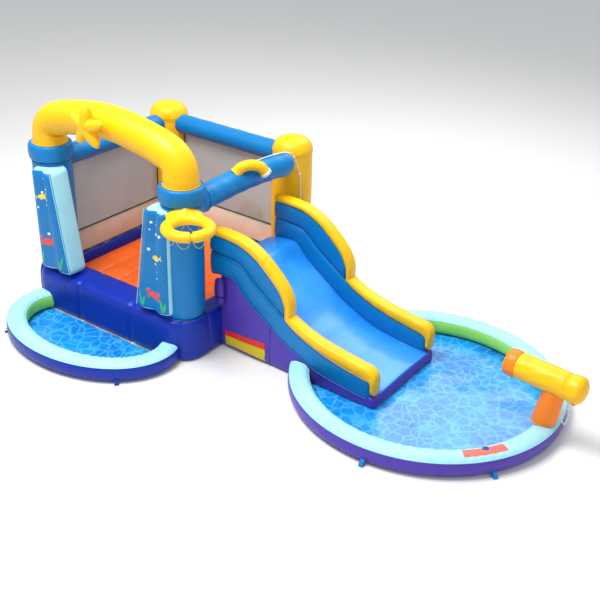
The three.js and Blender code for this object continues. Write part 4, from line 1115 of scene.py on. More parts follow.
pool_floor("big_pool_sheet", "big_pool_floor", pool_centre, pool_reach, before_slide)
pool_floor("small_pool_sheet", "small_pool_floor", small_centre, small_reach, before_step)

# ---- Slide ----
# A purple wedge carries a glossy blue bed between two stacked blue side tubes, each topped by a
# yellow cap. All are air chambers, sewn along the creases.
SLIDE_START, SLIDE_LENGTH = slide_low[0], 1.9
SLIDE_WALL = 0.112
STEP_SHARE = 0.476


def on_slide(*line):
    """Side-view places (x, z) from (share of the slide's length, height) pairs."""
    return [(SLIDE_START + share * SLIDE_LENGTH, height) for share, height in line]


bed_line = on_slide((0, .815), (.079, .843), (.155, .835), (.224, .705), (.363, .515), (.455, .392),
                    (.545, .305), (.661, .215), (.837, .158), (1, .135))
crease_line = on_slide((0, 1.005), (.1, .995), (.197, .960), (.295, .805), (.474, .575))
cap_foot = on_slide((0, 1.19), (.089, 1.19), (.195, 1.168), (.284, 1.098), (.366, .978), (.442, .830),
                    (.47, .710), (STEP_SHARE, .572))
cap_top = on_slide((0, 1.246), (.1, 1.246), (.211, 1.226), (.305, 1.152), (.384, 1.04), (.466, .88),
                   (.5, .74), (.502, .612))
low_cap_foot = on_slide((STEP_SHARE, .572), (.54, .498), (.607, .44), (.674, .392), (.74, .357),
                        (.833, .32), (.932, .29), (.967, .268), (.974, .15))
low_cap_top = on_slide((.502, .612), (.596, .53), (.696, .476), (.8, .441), (.905, .415), (.965, .396),
                       (.994, .345), (.9985, .15))


def smooth_line(points, steps):
    return [(p.x, p.z) for p in spline([(x, 0, z) for x, z in points], steps)]


def height_on(line, x):
    for (xa, za), (xb, zb) in zip(line, line[1:]):
        if xa <= x <= xb:
            return za + (zb - za) * (x - xa) / max(xb - xa, 1e-9)
    return line[0][1] if x < line[0][0] else line[-1][1]


smooth_bed = smooth_line(bed_line, 160)
bank = SLIDE_HALF - SLIDE_WALL


def side_tube(name, node, side, feet, tops, finish, wide, power=0.42, sink=0.012, sides=36, folds=0.0015):
    """A chamber between a lower and an upper side-view line, one section for each pair of places."""
    rings = []
    count = len(feet)
    for i, (foot, top) in enumerate(zip(feet, tops)):
        a, b = Vector((foot[0], 0, foot[1])), Vector((top[0], 0, top[1]))
        way = (b - a).normalized()
        a = a - way * sink
        gap = min(i, count - 1 - i) / count
        close = 0.02 * max(1 - gap / 0.02, 0.0) ** 2
        inner, outer = wide
        ring = []
        for angle in turns(sides):
            u, v = squared(angle, power)
            bulge = 0.008 * math.cos(v * math.pi / 2)
            fold = folds * math.sin(i * 0.42 + 2 * math.sin(i * 0.11)) * abs(v)
            across = (inner + outer) / 2 + u * ((outer - inner) / 2 - close + bulge + fold)
            place = a.lerp(b, 0.5) + (b - a) * 0.5 * v * (1 - close * 6)
            ring.append((place.x, side * across, place.z))
        rings.append(ring)
    return settle(loft(name, rings, [finish]), node)


def pairs(feet, tops, steps):
    return smooth_line(feet, steps), smooth_line(tops, steps)


for side, label in ((-1, "near"), (1, "far")):
    wall_wide = (bank, SLIDE_HALF - 0.006)
    xs = places(SLIDE_START, SLIDE_START + STEP_SHARE * SLIDE_LENGTH, 70)
    smooth_crease = smooth_line(crease_line, 80)
    low_feet = [(x, height_on(smooth_bed, x) - 0.05) for x in xs]
    low_tops = [(x, height_on(smooth_crease, x) + 0.004) for x in xs]
    more = places(SLIDE_START + STEP_SHARE * SLIDE_LENGTH, SLIDE_START + 0.972 * SLIDE_LENGTH, 80)[1:]
    smooth_low = smooth_line(low_cap_foot[:-2], 80)
    low_feet += [(x, height_on(smooth_bed, x) - 0.05) for x in more]
    low_tops += [(x, height_on(smooth_low, x) + 0.006) for x in more]
    side_tube(label + "_lower_tube", label + "_lower_wall", side, low_feet, low_tops, sky, wall_wide)
    smooth_cap = smooth_line(cap_foot[:-1], 80)
    up_feet = [(x, height_on(smooth_crease, x) + 0.004) for x in xs[:-1]]
    up_tops = [(x, max(height_on(smooth_cap, x) + 0.006, height_on(smooth_crease, x) + 0.03))
               for x in xs[:-1]]
    side_tube(label + "_upper_tube", label + "_upper_wall", side, up_feet, up_tops, sky, wall_wide,
              sink=0.004)
    feet, tops = pairs(cap_foot, cap_top, 90)
    lower = pairs(low_cap_foot, low_cap_top, 90)
    cap_feet, cap_tops = feet + lower[0][2:], tops + lower[1][2:]
    side_tube(label + "_cap_tube", label + "_wall_cap", side, cap_feet, cap_tops, yellow,
              (bank - 0.004, SLIDE_HALF + 0.001), power=0.5, sink=0.006)
    crease = [Vector((x, side * (SLIDE_HALF - 0.003), z)) for x, z in smooth_crease]
    foot_line = [Vector((x, side * (SLIDE_HALF - 0.002), height_on(smooth_bed, x) - 0.046)) for x in
                 places(SLIDE_START + 0.14, SLIDE_START + 0.96 * SLIDE_LENGTH, 120)]
    cap_seam = [Vector((x, side * (SLIDE_HALF + 0.001), z)) for x, z in feet[:-1] + lower[0][1:-12]]
    grow(label + "_wall_welts", welt, [crease, foot_line], {"Radius": 0.0035}, sky)
    grow(label + "_cap_welt", welt, [cap_seam], {"Radius": 0.0035}, yellow)
    grow(label + "_cap_stitches", stitches, [[p + Vector((0, side * 0.006, 0.014)) for p in cap_seam]],
         {"Spacing": 0.014, "Length": 0.009, "Thread": 0.0018}, thread_finish)


def bed_finish():
    finish = Finish("blue_bed_fabric", "bed_fabric")
    broad = finish.noise(2.2, 3.0)
    fine = finish.noise(30.0, 4.0, 0.6)
    tint = broad.smooth(0.25, 0.75).between(srgb(30, 134, 232), srgb(62, 158, 244))
    rubbed = fine.smooth(0.55, 0.75) * 0.2
    finish.set(Base_Color=rubbed.between(tint, srgb(130, 190, 246)), Roughness=fine * 0.15 + 0.26)
    finish.set(Coat_Weight=broad * 0.2 + 0.12)
    finish.bump(broad * 1.2 + fine * 0.1, 0.015, 0.5)
    return finish


bed = bed_finish()
bed_rings = []
for i, (x, z) in enumerate(smooth_bed):
    x = min(x, slide_high[0] - 0.012)
    lip = 0.012 * max((i - 156) / 4, 0.0) ** 2
    ring = []
    for k in range(41):
        share = k / 40
        crown = 0.012 * (1 - (2 * share - 1) ** 2) - 0.02 * (abs(2 * share - 1) ** 14)
        quilt = 0.0015 * math.sin(i * 0.35) * math.sin(math.pi * share)
        ring.append((x, -bank - 0.006 + 2 * (bank + 0.006) * share, z - 0.006 + crown + quilt - lip))
    ring += [(x, bank, max(z - 0.08, 0.052)), (x, -bank, max(z - 0.08, 0.052))]
    bed_rings.append(ring)
settle(loft("slide_bed_cushion", bed_rings, [bed]), "slide_bed")

POCKET_LENGTH = 0.59
base_rings = []
base_xs = places(SLIDE_START + 0.131, slide_high[0], 150)
for i, x in enumerate(base_xs):
    top = height_on(smooth_bed, x) - 0.02
    foot = 0.0 if x > HALF else BASE_TOP
    bulge = 0.012 * abs(math.sin(math.pi * (x - base_xs[0]) / POCKET_LENGTH)) ** 0.5
    left_over = slide_high[0] - x
    close = 0.018 * max(1 - left_over / 0.03, 0.0) ** 2
    ring = []
    for angle in turns(48):
        u, v = squared(angle, 0.16)
        across = u * (SLIDE_HALF - 0.014 - close + bulge * math.cos(v * math.pi / 2) ** 0.5)
        ring.append((x, across, foot + (top - close - foot) * (0.5 + 0.5 * v)))
    base_rings.append(ring)
settle(loft("slide_wedge", base_rings, [purple]), "slide_base")
upright_seams = []
for pocket in (1, 2, 3):
    x = base_xs[0] + POCKET_LENGTH * pocket
    if x < slide_high[0] - 0.2:
        top = height_on(smooth_bed, x) - 0.06
        for y in (0.012 - SLIDE_HALF, SLIDE_HALF - 0.012):
            upright_seams.append([Vector((x, y, 0.01)), Vector((x, y, top))])
grow("wedge_welts", welt, upright_seams, {"Radius": 0.0035}, purple)

# The padded label patch on the near side is left blank: red over yellow.
patch_red = coated_fabric("red_patch", "orange_fabric", srgb(225, 46, 42))
patch_yellow = coated_fabric("yellow_patch", "yellow_fabric", srgb(212, 190, 20))
wedge_skin = skin_of(bpy.data.objects["slide_wedge"])


def beside_slide(u, v):
    return Vector((u, -0.8, v))


def slanted(low, high):
    """A strip of the patch between two shares of its height."""
    def at(x_share, z_share):
        foot = 0.049 + (0.033 - 0.049) * x_share
        top = 0.207 + (0.235 - 0.207) * x_share
        return 1.115 + 0.485 * x_share, foot + (top - foot) * z_share
    line = [at(s, low) for s in places(0, 1, 12)] + [at(s, high) for s in reversed(places(0, 1, 12))]
    middle = at(0.5, (low + high) / 2)
    return [(middle, [(x - middle[0], z - middle[1]) for x, z in line])]


toward_wedge = Vector((0, 1, 0))
print_on("red_patch_film", slanted(0.66, 1.0), wedge_skin, beside_slide, toward_wedge, patch_red, 0.005)
print_on("yellow_patch_film", slanted(0.0, 0.64), wedge_skin, beside_slide, toward_wedge, patch_yellow,
         0.005)

# ---- Water cannon ----
# An orange post leans on the large pool's rim. The yellow barrel turns on it to aim, with an orange
# ring at its mouth and a loop to hold under its rear.
PIVOT = Vector((4.2575, 0, 0.62))
aim = math.radians(174.6)
muzzle_way = Vector((math.cos(aim), math.sin(aim), 0))
BARREL_RADIUS = 0.118


def along_barrel(distance, height=PIVOT.z):
    return Vector((PIVOT.x + muzzle_way.x * distance, PIVOT.y + muzzle_way.y * distance, height))


def barrel_loft(name, profile, finishes, folds=0, amount=0.0, sides=64):
    """Turned about the barrel's own axis, from (place along it, radius) points."""
    side = Vector((0, 0, 1)).cross(muzzle_way)
    rings = []
    for place, radius in profile:
        ring = []
        for angle in turns(sides):
            r = radius + amount * math.sin(folds * angle + place * 25) if folds else radius
            rise = Vector((0, 0, r * math.sin(angle)))
            ring.append(along_barrel(place) + side * (r * math.cos(angle)) + rise)
        rings.append(ring)
    return loft(name, rings, finishes)


barrel_profile = []
for i in range(91):
    place = -0.275 + 0.635 * i / 90
    rear = max(min((place + 0.275) / 0.06, 1.0), 0.0)
    radius = BARREL_RADIUS * math.sqrt(1 - (1 - rear) ** 2) if rear < 1 else BARREL_RADIUS
    radius += 0.006 * math.exp(-(((place + 0.19) / 0.06) ** 2)) * rear
    radius -= 0.010 * math.exp(-(((place + 0.115) / 0.014) ** 2))
    radius -= 0.005 * math.exp(-(((place - 0.345) / 0.018) ** 2))
    barrel_profile.append((place, max(radius, 0.0005)))
barrel = barrel_loft("cannon_barrel_tube", barrel_profile, [yellow], folds=9, amount=0.0012)
settle(barrel, "cannon_barrel", body="cannon")
orange_cannon = coated_fabric("orange_cannon_fabric", "orange_fabric", srgb(252, 130, 30))
muzzle_profile = [(0.342, 0.1)]
for i in range(25):
    angle = math.pi * i / 24
    muzzle_profile.append((0.4075 - 0.0575 * math.cos(angle), 0.102 + 0.022 * math.sin(angle) ** 0.5))
muzzle_profile += [(0.458, 0.09), (0.425, 0.074), (0.40, 0.06), (0.398, 0.0005)]
muzzle = barrel_loft("cannon_mouth_ring", muzzle_profile, [orange_cannon])
settle(muzzle, "cannon_muzzle", body="cannon")
loop_line = spline([along_barrel(-0.158, 0.52), along_barrel(-0.16, 0.486), along_barrel(-0.172, 0.468),
                    along_barrel(-0.192, 0.468), along_barrel(-0.204, 0.486), along_barrel(-0.206, 0.52)],
                   50)
webbing = cloth_finish("yellow_webbing", "yellow_fabric", srgb(238, 186, 10), 1400)
CORNERS = (-1, -1), (1, -1), (1, 1), (-1, 1)


def ribbon(line, across_at, half_wide, half_thick):
    """Sections of a flat strap along a line. across_at gives its width's way from its own way."""
    rings = []
    for i, place in enumerate(line):
        ahead = (line[min(i + 1, len(line) - 1)] - line[max(i - 1, 0)]).normalized()
        across = across_at(ahead)
        normal = ahead.cross(across).normalized()
        rings.append([place + across * a * half_wide + normal * b * half_thick for a, b in CORNERS])
    return rings


loop_across = Vector((0, 0, 1)).cross(muzzle_way).normalized()
loop_rings = ribbon(loop_line, lambda ahead: loop_across, 0.012, 0.0015)
settle(loft("cannon_hand_loop", loop_rings, [webbing]), "cannon_loop", body="cannon")
post_rings = []
post_foot = Vector((4.2065, 0, RING_TOP + 0.001))
for i in range(61):
    share = i / 60
    middle = post_foot.lerp(Vector((PIVOT.x, 0, 0.545)), share)
    radius = 0.112 + (0.098 - 0.112) * share - 0.012 * math.exp(-share / 0.03)
    ring = []
    for angle in turns(64):
        ruck = 0.004 * math.exp(-(1 - share) / 0.14) * math.sin(13 * angle)
        ruck += 0.003 * math.exp(-share / 0.1) * math.sin(17 * angle)
        ring.append(about(middle, angle, radius + ruck, radius + ruck, middle.z))
    post_rings.append(ring)
post = loft("cannon_post_tube", post_rings, [orange_cannon])
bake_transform(post)
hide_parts("cannon_post")
grow("post_foot_welt", welt, [circle((post_foot.x, 0), 0.106, RING_TOP + 0.006)], {"Radius": 0.005},
     orange_cannon, closed=True)

# ---- Ball hoop ----
# A soft yellow ring on a pointed pad under the right collar, cinched at its front, with a few loops
# of cord below it.
hoop_low, hoop_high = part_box("hoop_ring")
hoop_middle = (Vector(hoop_low) + Vector(hoop_high)) / 2
HOOP_RADIUS, HOOP_TUBE = 0.19, 0.045
hoop_way = Vector((0.76, -0.65, 0)).normalized()
hoop_turn = math.atan2(hoop_way.y, hoop_way.x)
hoop_rings = []
for i in range(120):
    turn = 2 * math.pi * i / 120
    from_front = math.atan2(math.sin(turn - hoop_turn), math.cos(turn - hoop_turn))
    cinch = 0.55 * math.exp(-((from_front / 0.055) ** 2))
    fold = 0.012 * math.sin(turn * 16) * math.cos(turn * 5)
    ring = []
    for angle in turns(32):
        tall = HOOP_TUBE * (1 - cinch + fold * 0.5) * 1.05
        wide = HOOP_TUBE * (1 - cinch * 0.7 + fold) * 1.25
        r = HOOP_RADIUS + wide * math.cos(angle) - 0.003
        ring.append(about(hoop_middle, turn, r, r, hoop_middle.z + tall * math.sin(angle)))
    hoop_rings.append(ring)
settle(loft("hoop_tube", hoop_rings, [yellow], closed=True), "hoop_ring")
pad_middle = front_centres[1] + Vector((0, 0, hoop_middle.z))
across_way = Vector((-hoop_way.y, hoop_way.x, 0))
pad_rings = []
for i in range(41):
    share = -1 + 2 * i / 40
    across = share * 0.165
    tall = 0.105 * (1 - abs(share)) ** 0.8 + 0.022
    reach = 0.285 - 0.05 * share**2
    ring = []
    for angle in turns(28):
        u, v = squared(angle, 0.7)
        out = (reach + 0.13) / 2 + u * (reach - 0.13) / 2
        lift = 0.03 * (1 - abs(share)) * (1 - u) * 0.5
        rise = Vector((0, 0, v * tall * (1 - 0.35 * u) * 0.62 + lift))
        ring.append(pad_middle + hoop_way * out + across_way * across + rise)
    pad_rings.append(ring)
settle(loft("hoop_pad_cushion", pad_rings, [yellow]), "hoop_pad")
net_cord = cloth_finish("yellow_cord", "yellow_fabric", srgb(240, 200, 30), 2000)
loops = []
for i in range(8):
    start = hoop_turn + math.pi * 2 * (i + 0.5) / 8
    line = []
    for j in range(21):
        share = j / 20
        turn = start + (share - 0.5) * 0.66
        drop = 0.075 * math.sin(math.pi * share) ** 0.6
        r = HOOP_RADIUS - 0.006 * math.sin(math.pi * share)
        line.append(about(hoop_middle, turn, r, r, hoop_middle.z - HOOP_TUBE * 0.85 - drop))
    loops.append(line)
grow("hoop_net_loops", welt, loops, {"Radius": 0.0024}, net_cord)

# ---- Sprinkler ----
# A bent yellow tube, blown up and sewn to the right rail's top. The hose feeds the white plastic ring
# at its mouth, which has two rings of spray holes.
sprinkler_points = [(0.872, -0.09, 1.628), (0.905, -0.05, 1.678), (0.960, 0.025, 1.698),
                    (1.020, 0.100, 1.672),
                    (1.050, 0.135, 1.618)]
sprinkler_line = spline(sprinkler_points, 60)


def sprinkler_skin(share, angle):
    fold = 0.0016 * math.sin(share * 60) * math.sin(angle * 2)
    return 0.054 + 0.006 * math.exp(-share / 0.05) - 0.003 * math.exp(-(1 - share) / 0.05) + fold - 0.001


made = loft("sprinkler_bend", cross_sections(sprinkler_line, sprinkler_skin, 40), [yellow])
settle(made, "sprinkler_tube")
nozzle_way = (sprinkler_line[-1] - sprinkler_line[-3]).normalized()


def plastic(name, slot, colour, roughness=0.35):
    """Moulded plastic: faint swirl and fine grain."""
    finish = Finish(name, slot)
    swirl = finish.noise(14.0, 4.0, 0.6)
    grain = finish.noise(900.0, 2.0)
    finish.set(Base_Color=swirl.smooth(0.25, 0.75).between(shade(colour, 0.93), shade(colour, 1.05)))
    finish.set(Roughness=swirl * 0.12 + grain * 0.06 + roughness - 0.08)
    finish.bump(grain * 0.25 + swirl * 0.5, 0.0006)
    return finish


white = plastic("white_plastic", "white_plastic", srgb(236, 236, 230))


def axis_loft(name, start, way, profile, finishes, sides=40):
    """Turned about any axis, from (place along it, radius) points."""
    way = way.normalized()
    side = Vector((0, 0, 1)).cross(way)
    side = side.normalized() if side.length > 1e-3 else Vector((1, 0, 0))
    up = way.cross(side)
    rings = []
    for place, radius in profile:
        r = max(radius, 2e-4)
        rings.append([start + way * place + side * (r * math.cos(a)) + up * (r * math.sin(a))
                      for a in turns(sides)])
    return loft(name, rings, finishes, closed=min(profile[0][1], profile[-1][1]) > 0.001)


rim = axis_loft("sprinkler_rim", sprinkler_line[-1], nozzle_way, [
    (-0.004, 0.0002), (-0.004, 0.055), (-0.002, 0.058), (0.023, 0.058), (0.027, 0.055), (0.028, 0.048),
    (0.026, 0.043), (0.010, 0.042), (0.009, 0.0002),
], [white])
settle(rim, "sprinkler_nozzle")
nozzle_side = Vector((0, 0, 1)).cross(nozzle_way).normalized()
nozzle_up = nozzle_way.cross(nozzle_side)
spray_face = sprinkler_line[-1] + nozzle_way * 0.0095
spray_holes = [spray_face + (nozzle_side * math.cos(a) + nozzle_up * math.sin(a)) * r
               for r, n in ((0.012, 6), (0.026, 12)) for a in turns(n)]
black = plastic("black_plastic", "black_plastic", srgb(26, 26, 28), 0.45)
for i, spot in enumerate(spray_holes):
    settle(axis_loft(f"spray_hole_{i}", spot - nozzle_way * 0.002, nozzle_way,
                     [(0, 0.0002), (0, 0.0022), (0.0026, 0.0022), (0.0026, 0.0002)], [black], 10))

# ---- Hose fittings ----
# A white moulded tee takes the garden hose at its threaded side, and the two clear hoses push on to
# its barbed ends. Small clips hold the hoses in place.
TEE = Vector((1.190, 0.640, 0.026))
bar = axis_loft("tee_bar", TEE - Vector((0.021, 0, 0)), Vector((1, 0, 0)), [
    (0, 0.0063), (0, 0.0098), (0.003, 0.0105), (0.006, 0.0092), (0.009, 0.0105), (0.012, 0.0095),
    (0.03, 0.0095),
    (0.033, 0.0105), (0.036, 0.0092), (0.039, 0.0105), (0.042, 0.0098), (0.042, 0.0063),
], [white], 28)
settle(bar, "hose_tee")
thread_profile = [(0.0, 0.0002), (0.0, 0.0125)]
for i in range(15):
    thread_profile.append((0.012 + i * 0.0022, 0.0140 if i % 2 else 0.0126))
thread_profile += [(0.045, 0.0128), (0.045, 0.009), (0.02, 0.009), (0.02, 0.0002)]
settle(axis_loft("tee_thread", TEE, Vector((0, 1, 0)), thread_profile, [white], 28))

# Clips of white plastic hold the hoses: on the rail, down the column, and round the large pool.


def clip_tree():
    """A round band with two small ears at each point, turned to the hose by its own direction."""
    tree, given, lines, result = node_tree("hose_clips", ["Band radius", "Band width"])
    section = tree_node(tree, "GeometryNodeCurvePrimitiveCircle", {"Radius": given["Band radius"]})
    section.inputs["Resolution"].default_value = 14
    band = tree_node(tree, "GeometryNodeCurveToMesh", {
        "Curve": lines.outputs[0], "Profile Curve": section.outputs[0], "Fill Caps": True,
    })
    middles = tree_node(tree, "GeometryNodeCurveToPoints", {"Curve": lines.outputs[0]}, {"mode": "COUNT"})
    middles.inputs["Count"].default_value = 2
    size = tree_node(tree, "ShaderNodeCombineXYZ", {"X": given["Band radius"],
                                                    "Y": given["Band width"], "Z": 0.0035})
    ear = tree_node(tree, "GeometryNodeMeshCube", {"Size": size.outputs[0]})
    ears = tree_node(tree, "GeometryNodeInstanceOnPoints", {
        "Points": middles.outputs["Points"], "Instance": ear.outputs["Mesh"],
        "Rotation": middles.outputs["Rotation"],
    })
    both = tree_node(tree, "GeometryNodeJoinGeometry")
    tree.links.new(band.outputs[0], both.inputs[0])
    tree.links.new(ears.outputs[0], both.inputs[0])
    finish_tree(tree, given, result, both.outputs[0])
    return tree


clip_lines = []
for points, marks in ((upper_hose_points, (0.16, 0.27, 0.36, 0.52, 0.66, 0.78)),
                      (lower_hose_points, (0.2, 0.32, 0.44, 0.56, 0.68, 0.8, 0.92))):
    line = spline(points, 400)
    for mark in marks:
        start = int(mark * 400)
        way = (line[start + 1] - line[start]).normalized()
        clip_lines.append([line[start], line[start] + way * 0.009, line[start] + way * 0.018])
grow("hose_clips", clip_tree(), clip_lines, {"Band radius": 0.0082, "Band width": 0.022}, white)

# ---- Inflation sleeves ----
# A royal blue sleeve leaves the back wall and slips over the blower's outlet, tied with a webbing
# strap. A second, purple one by the slide is rolled up and tied off.
FAN = Vector((-0.35, 1.65, 0.235))
OUTLET_Z, MOUTH = 0.110, 1.41
sleeve_line = spline([(FAN.x, HALF - 0.004, 0.17), (FAN.x, HALF + 0.1, 0.17),
                      (FAN.x, MOUTH - 0.06, OUTLET_Z),
                      (FAN.x, MOUTH, OUTLET_Z), (FAN.x, MOUTH + 0.05, OUTLET_Z)], 110)


def sleeve_skin(share, angle):
    tied = math.exp(-(((share - 0.945) / 0.02) ** 2))
    gathered = 0.35 + math.exp(-(((share - 0.93) / 0.06) ** 2))
    fold = 0.003 * math.sin(11 * angle + 3 * math.sin(share * 7)) * gathered
    ripple = 0.0018 * math.sin(share * 38 + 2 * math.sin(angle))
    seam = 0.004 * math.exp(-share / 0.03)
    return 0.068 + fold * (1 - share * 0.1) + ripple * (1 - tied) - 0.003 * tied + seam


royal_sleeve = loft("inflation_sleeve_cloth", cross_sections(sleeve_line, sleeve_skin, 60), [royal])
settle(royal_sleeve, "inflation_sleeve")
strap_web = cloth_finish("black_webbing", "black_plastic", srgb(28, 28, 30), 1400)
strap_at = Vector((FAN.x, MOUTH + 0.025, OUTLET_Z))
toward_back = Vector((0, 1, 0))
strap = axis_loft("sleeve_strap_band", strap_at - toward_back * 0.0125, toward_back, [
    (0, 0.0665), (0, 0.0715), (0.001, 0.0722), (0.024, 0.0722), (0.025, 0.0715), (0.025, 0.0665),
], [strap_web], 64)
settle(strap, "sleeve_strap")


def block(name, low, high, finish, bevel):
    """A box with rounded edges."""
    points = [(x, y, z) for x in (low[0], high[0]) for y in (low[1], high[1]) for z in (low[2], high[2])]
    faces = [(0, 1, 3, 2), (4, 6, 7, 5), (0, 4, 5, 1), (2, 3, 7, 6), (0, 2, 6, 4), (1, 5, 7, 3)]
    made = mesh_object(name, points, faces, [finish])
    work = bmesh.new()
    work.from_mesh(made.data)
    bmesh.ops.bevel(work, geom=work.edges[:], offset=bevel, segments=3, affect="EDGES", profile=0.6)
    work.to_mesh(made.data)
    work.free()
    made.data.polygons.foreach_set("use_smooth", [True] * len(made.data.polygons))
    made.data.set_sharp_from_angle(angle=math.radians(50))
    return made


def metal(name, slot="steel", colour=(170, 172, 176), roughness=0.3):
    finish = Finish(name, slot)
    stain = finish.noise(40.0, 4.0, 0.6)
    scratch = finish.noise(700.0, 2.0)
    finish.set(Base_Color=stain.smooth(0.2, 0.8).between(shade(srgb(*colour), 0.85), srgb(*colour)))
    finish.set(Metallic=scratch * 0.04 + 0.94, Roughness=stain * 0.16 + roughness - 0.06)
    finish.bump(scratch, 0.0002)
    return finish


steel = metal("zinc_steel")
buckle_low = strap_at + Vector((-0.017, -0.015, 0.0705))
settle(block("strap_buckle", buckle_low, strap_at + Vector((0.017, 0.015, 0.0755)), black, 0.0015))
tail = [strap_at + Vector((0.01 + 0.07 * s, 0.004 * math.sin(6 * s), 0.0745 - 0.075 * s * s))
        for s in places(0, 1, 24)]
tail_rings = [[p + Vector((0, a * 0.0115, b * 0.0009)) for a, b in CORNERS] for p in tail]
settle(loft("strap_tail", tail_rings, [strap_web]))

# The spare sleeve gets a darker copy of the purple fabric as painted shade, for the shadow it sits in
# between the front right column and the slide.
shaded_purple = coated_fabric("shaded_purple_fabric", "purple_fabric", srgb(62, 44, 142))
spare_low, spare_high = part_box("spare_sleeve")
spare_middle = (Vector(spare_low) + Vector(spare_high)) / 2
spare_half = (Vector(spare_high) - Vector(spare_low)) / 2
spare_rings = []
for i in range(49):
    tilt = math.radians(-90 + 180 * i / 48)
    close = math.cos(tilt) ** 0.45
    tied = 0.25 * math.exp(-((math.sin(tilt) + 0.35) / 0.06) ** 2)
    ring = []
    for angle in turns(48):
        rolled = math.sin(7 * angle + 2 * math.sin(i * 0.2)) * (0.3 + tied * 2)
        r = close * (0.97 - tied) + 0.05 * close * rolled
        height = spare_middle.z + spare_half.z * 0.99 * math.sin(tilt)
        ring.append(about(spare_middle, angle, spare_half.x * r, spare_half.y * r, height))
    spare_rings.append(ring)
settle(loft("spare_sleeve_roll", spare_rings, [shaded_purple]), "spare_sleeve")
tie_height = spare_middle.z + spare_half.z * -0.35
tie = [about(spare_middle, a, spare_half.x * 0.76, spare_half.y * 0.76, tie_height) for a in turns(32)]
grow("spare_sleeve_tie", welt, [tie, [p + Vector((0, 0, 0.007)) for p in tie]], {"Radius": 0.0035},
     strap_web, closed=True)

# ---- Deflation zip ----
# A black coil zip on woven tape, sewn into the back wall, lets the air out. Its zinc slider runs the
# length of the tape.
zip_low, zip_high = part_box("zip_tape")
tape = block("zip_tape_cloth", (zip_low[0], zip_low[1] - 0.006, zip_low[2]),
             (zip_high[0], zip_low[1] + 0.0016, zip_high[2]),
             strap_web, 0.0006)
settle(tape, "zip_tape")
zip_middle = (zip_low[2] + zip_high[2]) / 2
zip_face = zip_low[1] + 0.0018
teeth = row_tree("zip_teeth", "GeometryNodeMeshCube", {}, "Width", "Height", "Thickness")
teeth_lines = [[Vector((zip_low[0] + 0.012, zip_face, zip_middle + d)),
                Vector((zip_high[0] - 0.01, zip_face, zip_middle + d))]
               for d in (-0.0022, 0.0022)]
grow("zip_teeth", teeth, teeth_lines,
     {"Spacing": 0.003, "Width": 0.0042, "Height": 0.0012, "Thickness": 0.0016}, black)
zip_stitch_lines = [[Vector((zip_low[0] + 0.008, zip_face - 0.0002, zip_middle + d)),
                     Vector((zip_high[0] - 0.008, zip_face - 0.0002, zip_middle + d))]
                    for d in (-0.011, 0.011)]
grow("zip_stitches", stitches, zip_stitch_lines, {"Spacing": 0.006, "Length": 0.0042, "Thread": 0.0008},
     thread_finish)
slider_low, slider_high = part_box("zip_slider")
slider_x = (slider_low[0] + slider_high[0]) / 2
slider_y = slider_low[1]
body_points = [(-0.005, 0.0085), (0.005, 0.0085), (0.0095, -0.001), (0.0075, -0.0082), (-0.0075, -0.0082),
               (-0.0095, -0.001)]
slider_outline = spline([(x, 0, z) for x, z in body_points + body_points[:1]], 36)[:-1]
slider_rings = []
for depth, grow_by in ((0.0, 0.85), (0.0006, 1.0), (0.0030, 1.0), (0.0036, 0.9)):
    slider_rings.append([(slider_x + p.x * grow_by, slider_y + depth, zip_middle + p.z * grow_by)
                         for p in slider_outline])
settle(loft("zip_slider_body", slider_rings, [steel]), "zip_slider", body="zip")
pull_line = spline([(slider_x, slider_y + 0.0030, zip_middle + 0.004),
                    (slider_x, slider_y + 0.0066, zip_middle),
                    (slider_x, slider_y + 0.0062, zip_middle - 0.010)], 20)
settle(loft("zip_pull_bridge", cross_sections(pull_line, lambda s, a: 0.0011, 12), [steel]), body="zip")
pull = block("zip_pull_tab", (slider_x - 0.0048, slider_y + 0.0046, zip_middle - 0.043),
             (slider_x + 0.0048, slider_y + 0.0062, zip_middle - 0.006), steel, 0.0006)
settle(pull, body="zip")

# ---- Blower ----
# A centrifugal fan in two moulded shells of lime-yellow plastic, joined by screws through bosses.
# The front shell carries the intake ring and a green grille, and the outlet faces the house.
lime_plastic = plastic("lime_yellow_plastic", "lime_plastic", srgb(216, 208, 74), 0.34)
cream_plastic = plastic("pale_ring_plastic", "lime_plastic", srgb(222, 216, 104), 0.3)
green_plastic = plastic("green_grille_plastic", "green_plastic", srgb(40, 168, 84), 0.36)
TO_FRONT = Vector((1, 0, 0))
SHELL_R, SHELL_HALF = 0.175, 0.085


def fan_loft(name, profile, finishes, sides=96):
    """Turned about the fan's axis, from (place along it, radius) points."""
    return axis_loft(name, FAN, TO_FRONT, profile, finishes, sides)


for side, name, node in ((1, "blower_front_shell", "blower_front_casing"),
                         (-1, "blower_rear_shell", "blower_rear_casing")):
    inside = [(side * (SHELL_HALF - 0.005), 0.086 if side > 0 else 0.0004),
              (side * (SHELL_HALF - 0.005), SHELL_R - 0.012)]
    inside += [(side * (SHELL_HALF - 0.014), SHELL_R - 0.006), (side * 0.0004, SHELL_R - 0.006)]
    outside = [(side * 0.0004, SHELL_R + 0.004), (side * 0.0060, SHELL_R + 0.004),
               (side * 0.0068, SHELL_R - 0.001)]
    for i in range(13):
        angle = math.pi / 2 * i / 12
        outside.append((side * (SHELL_HALF - 0.016 + 0.016 * math.sin(angle)),
                        SHELL_R - 0.016 + 0.016 * math.cos(angle)))
    outside += [(side * SHELL_HALF, 0.150), (side * (SHELL_HALF - 0.002), 0.148),
                (side * (SHELL_HALF - 0.002), 0.144),
                (side * SHELL_HALF, 0.142), (side * SHELL_HALF, 0.086 if side > 0 else 0.0004)]
    settle(fan_loft(name, inside + outside, [lime_plastic]), node)

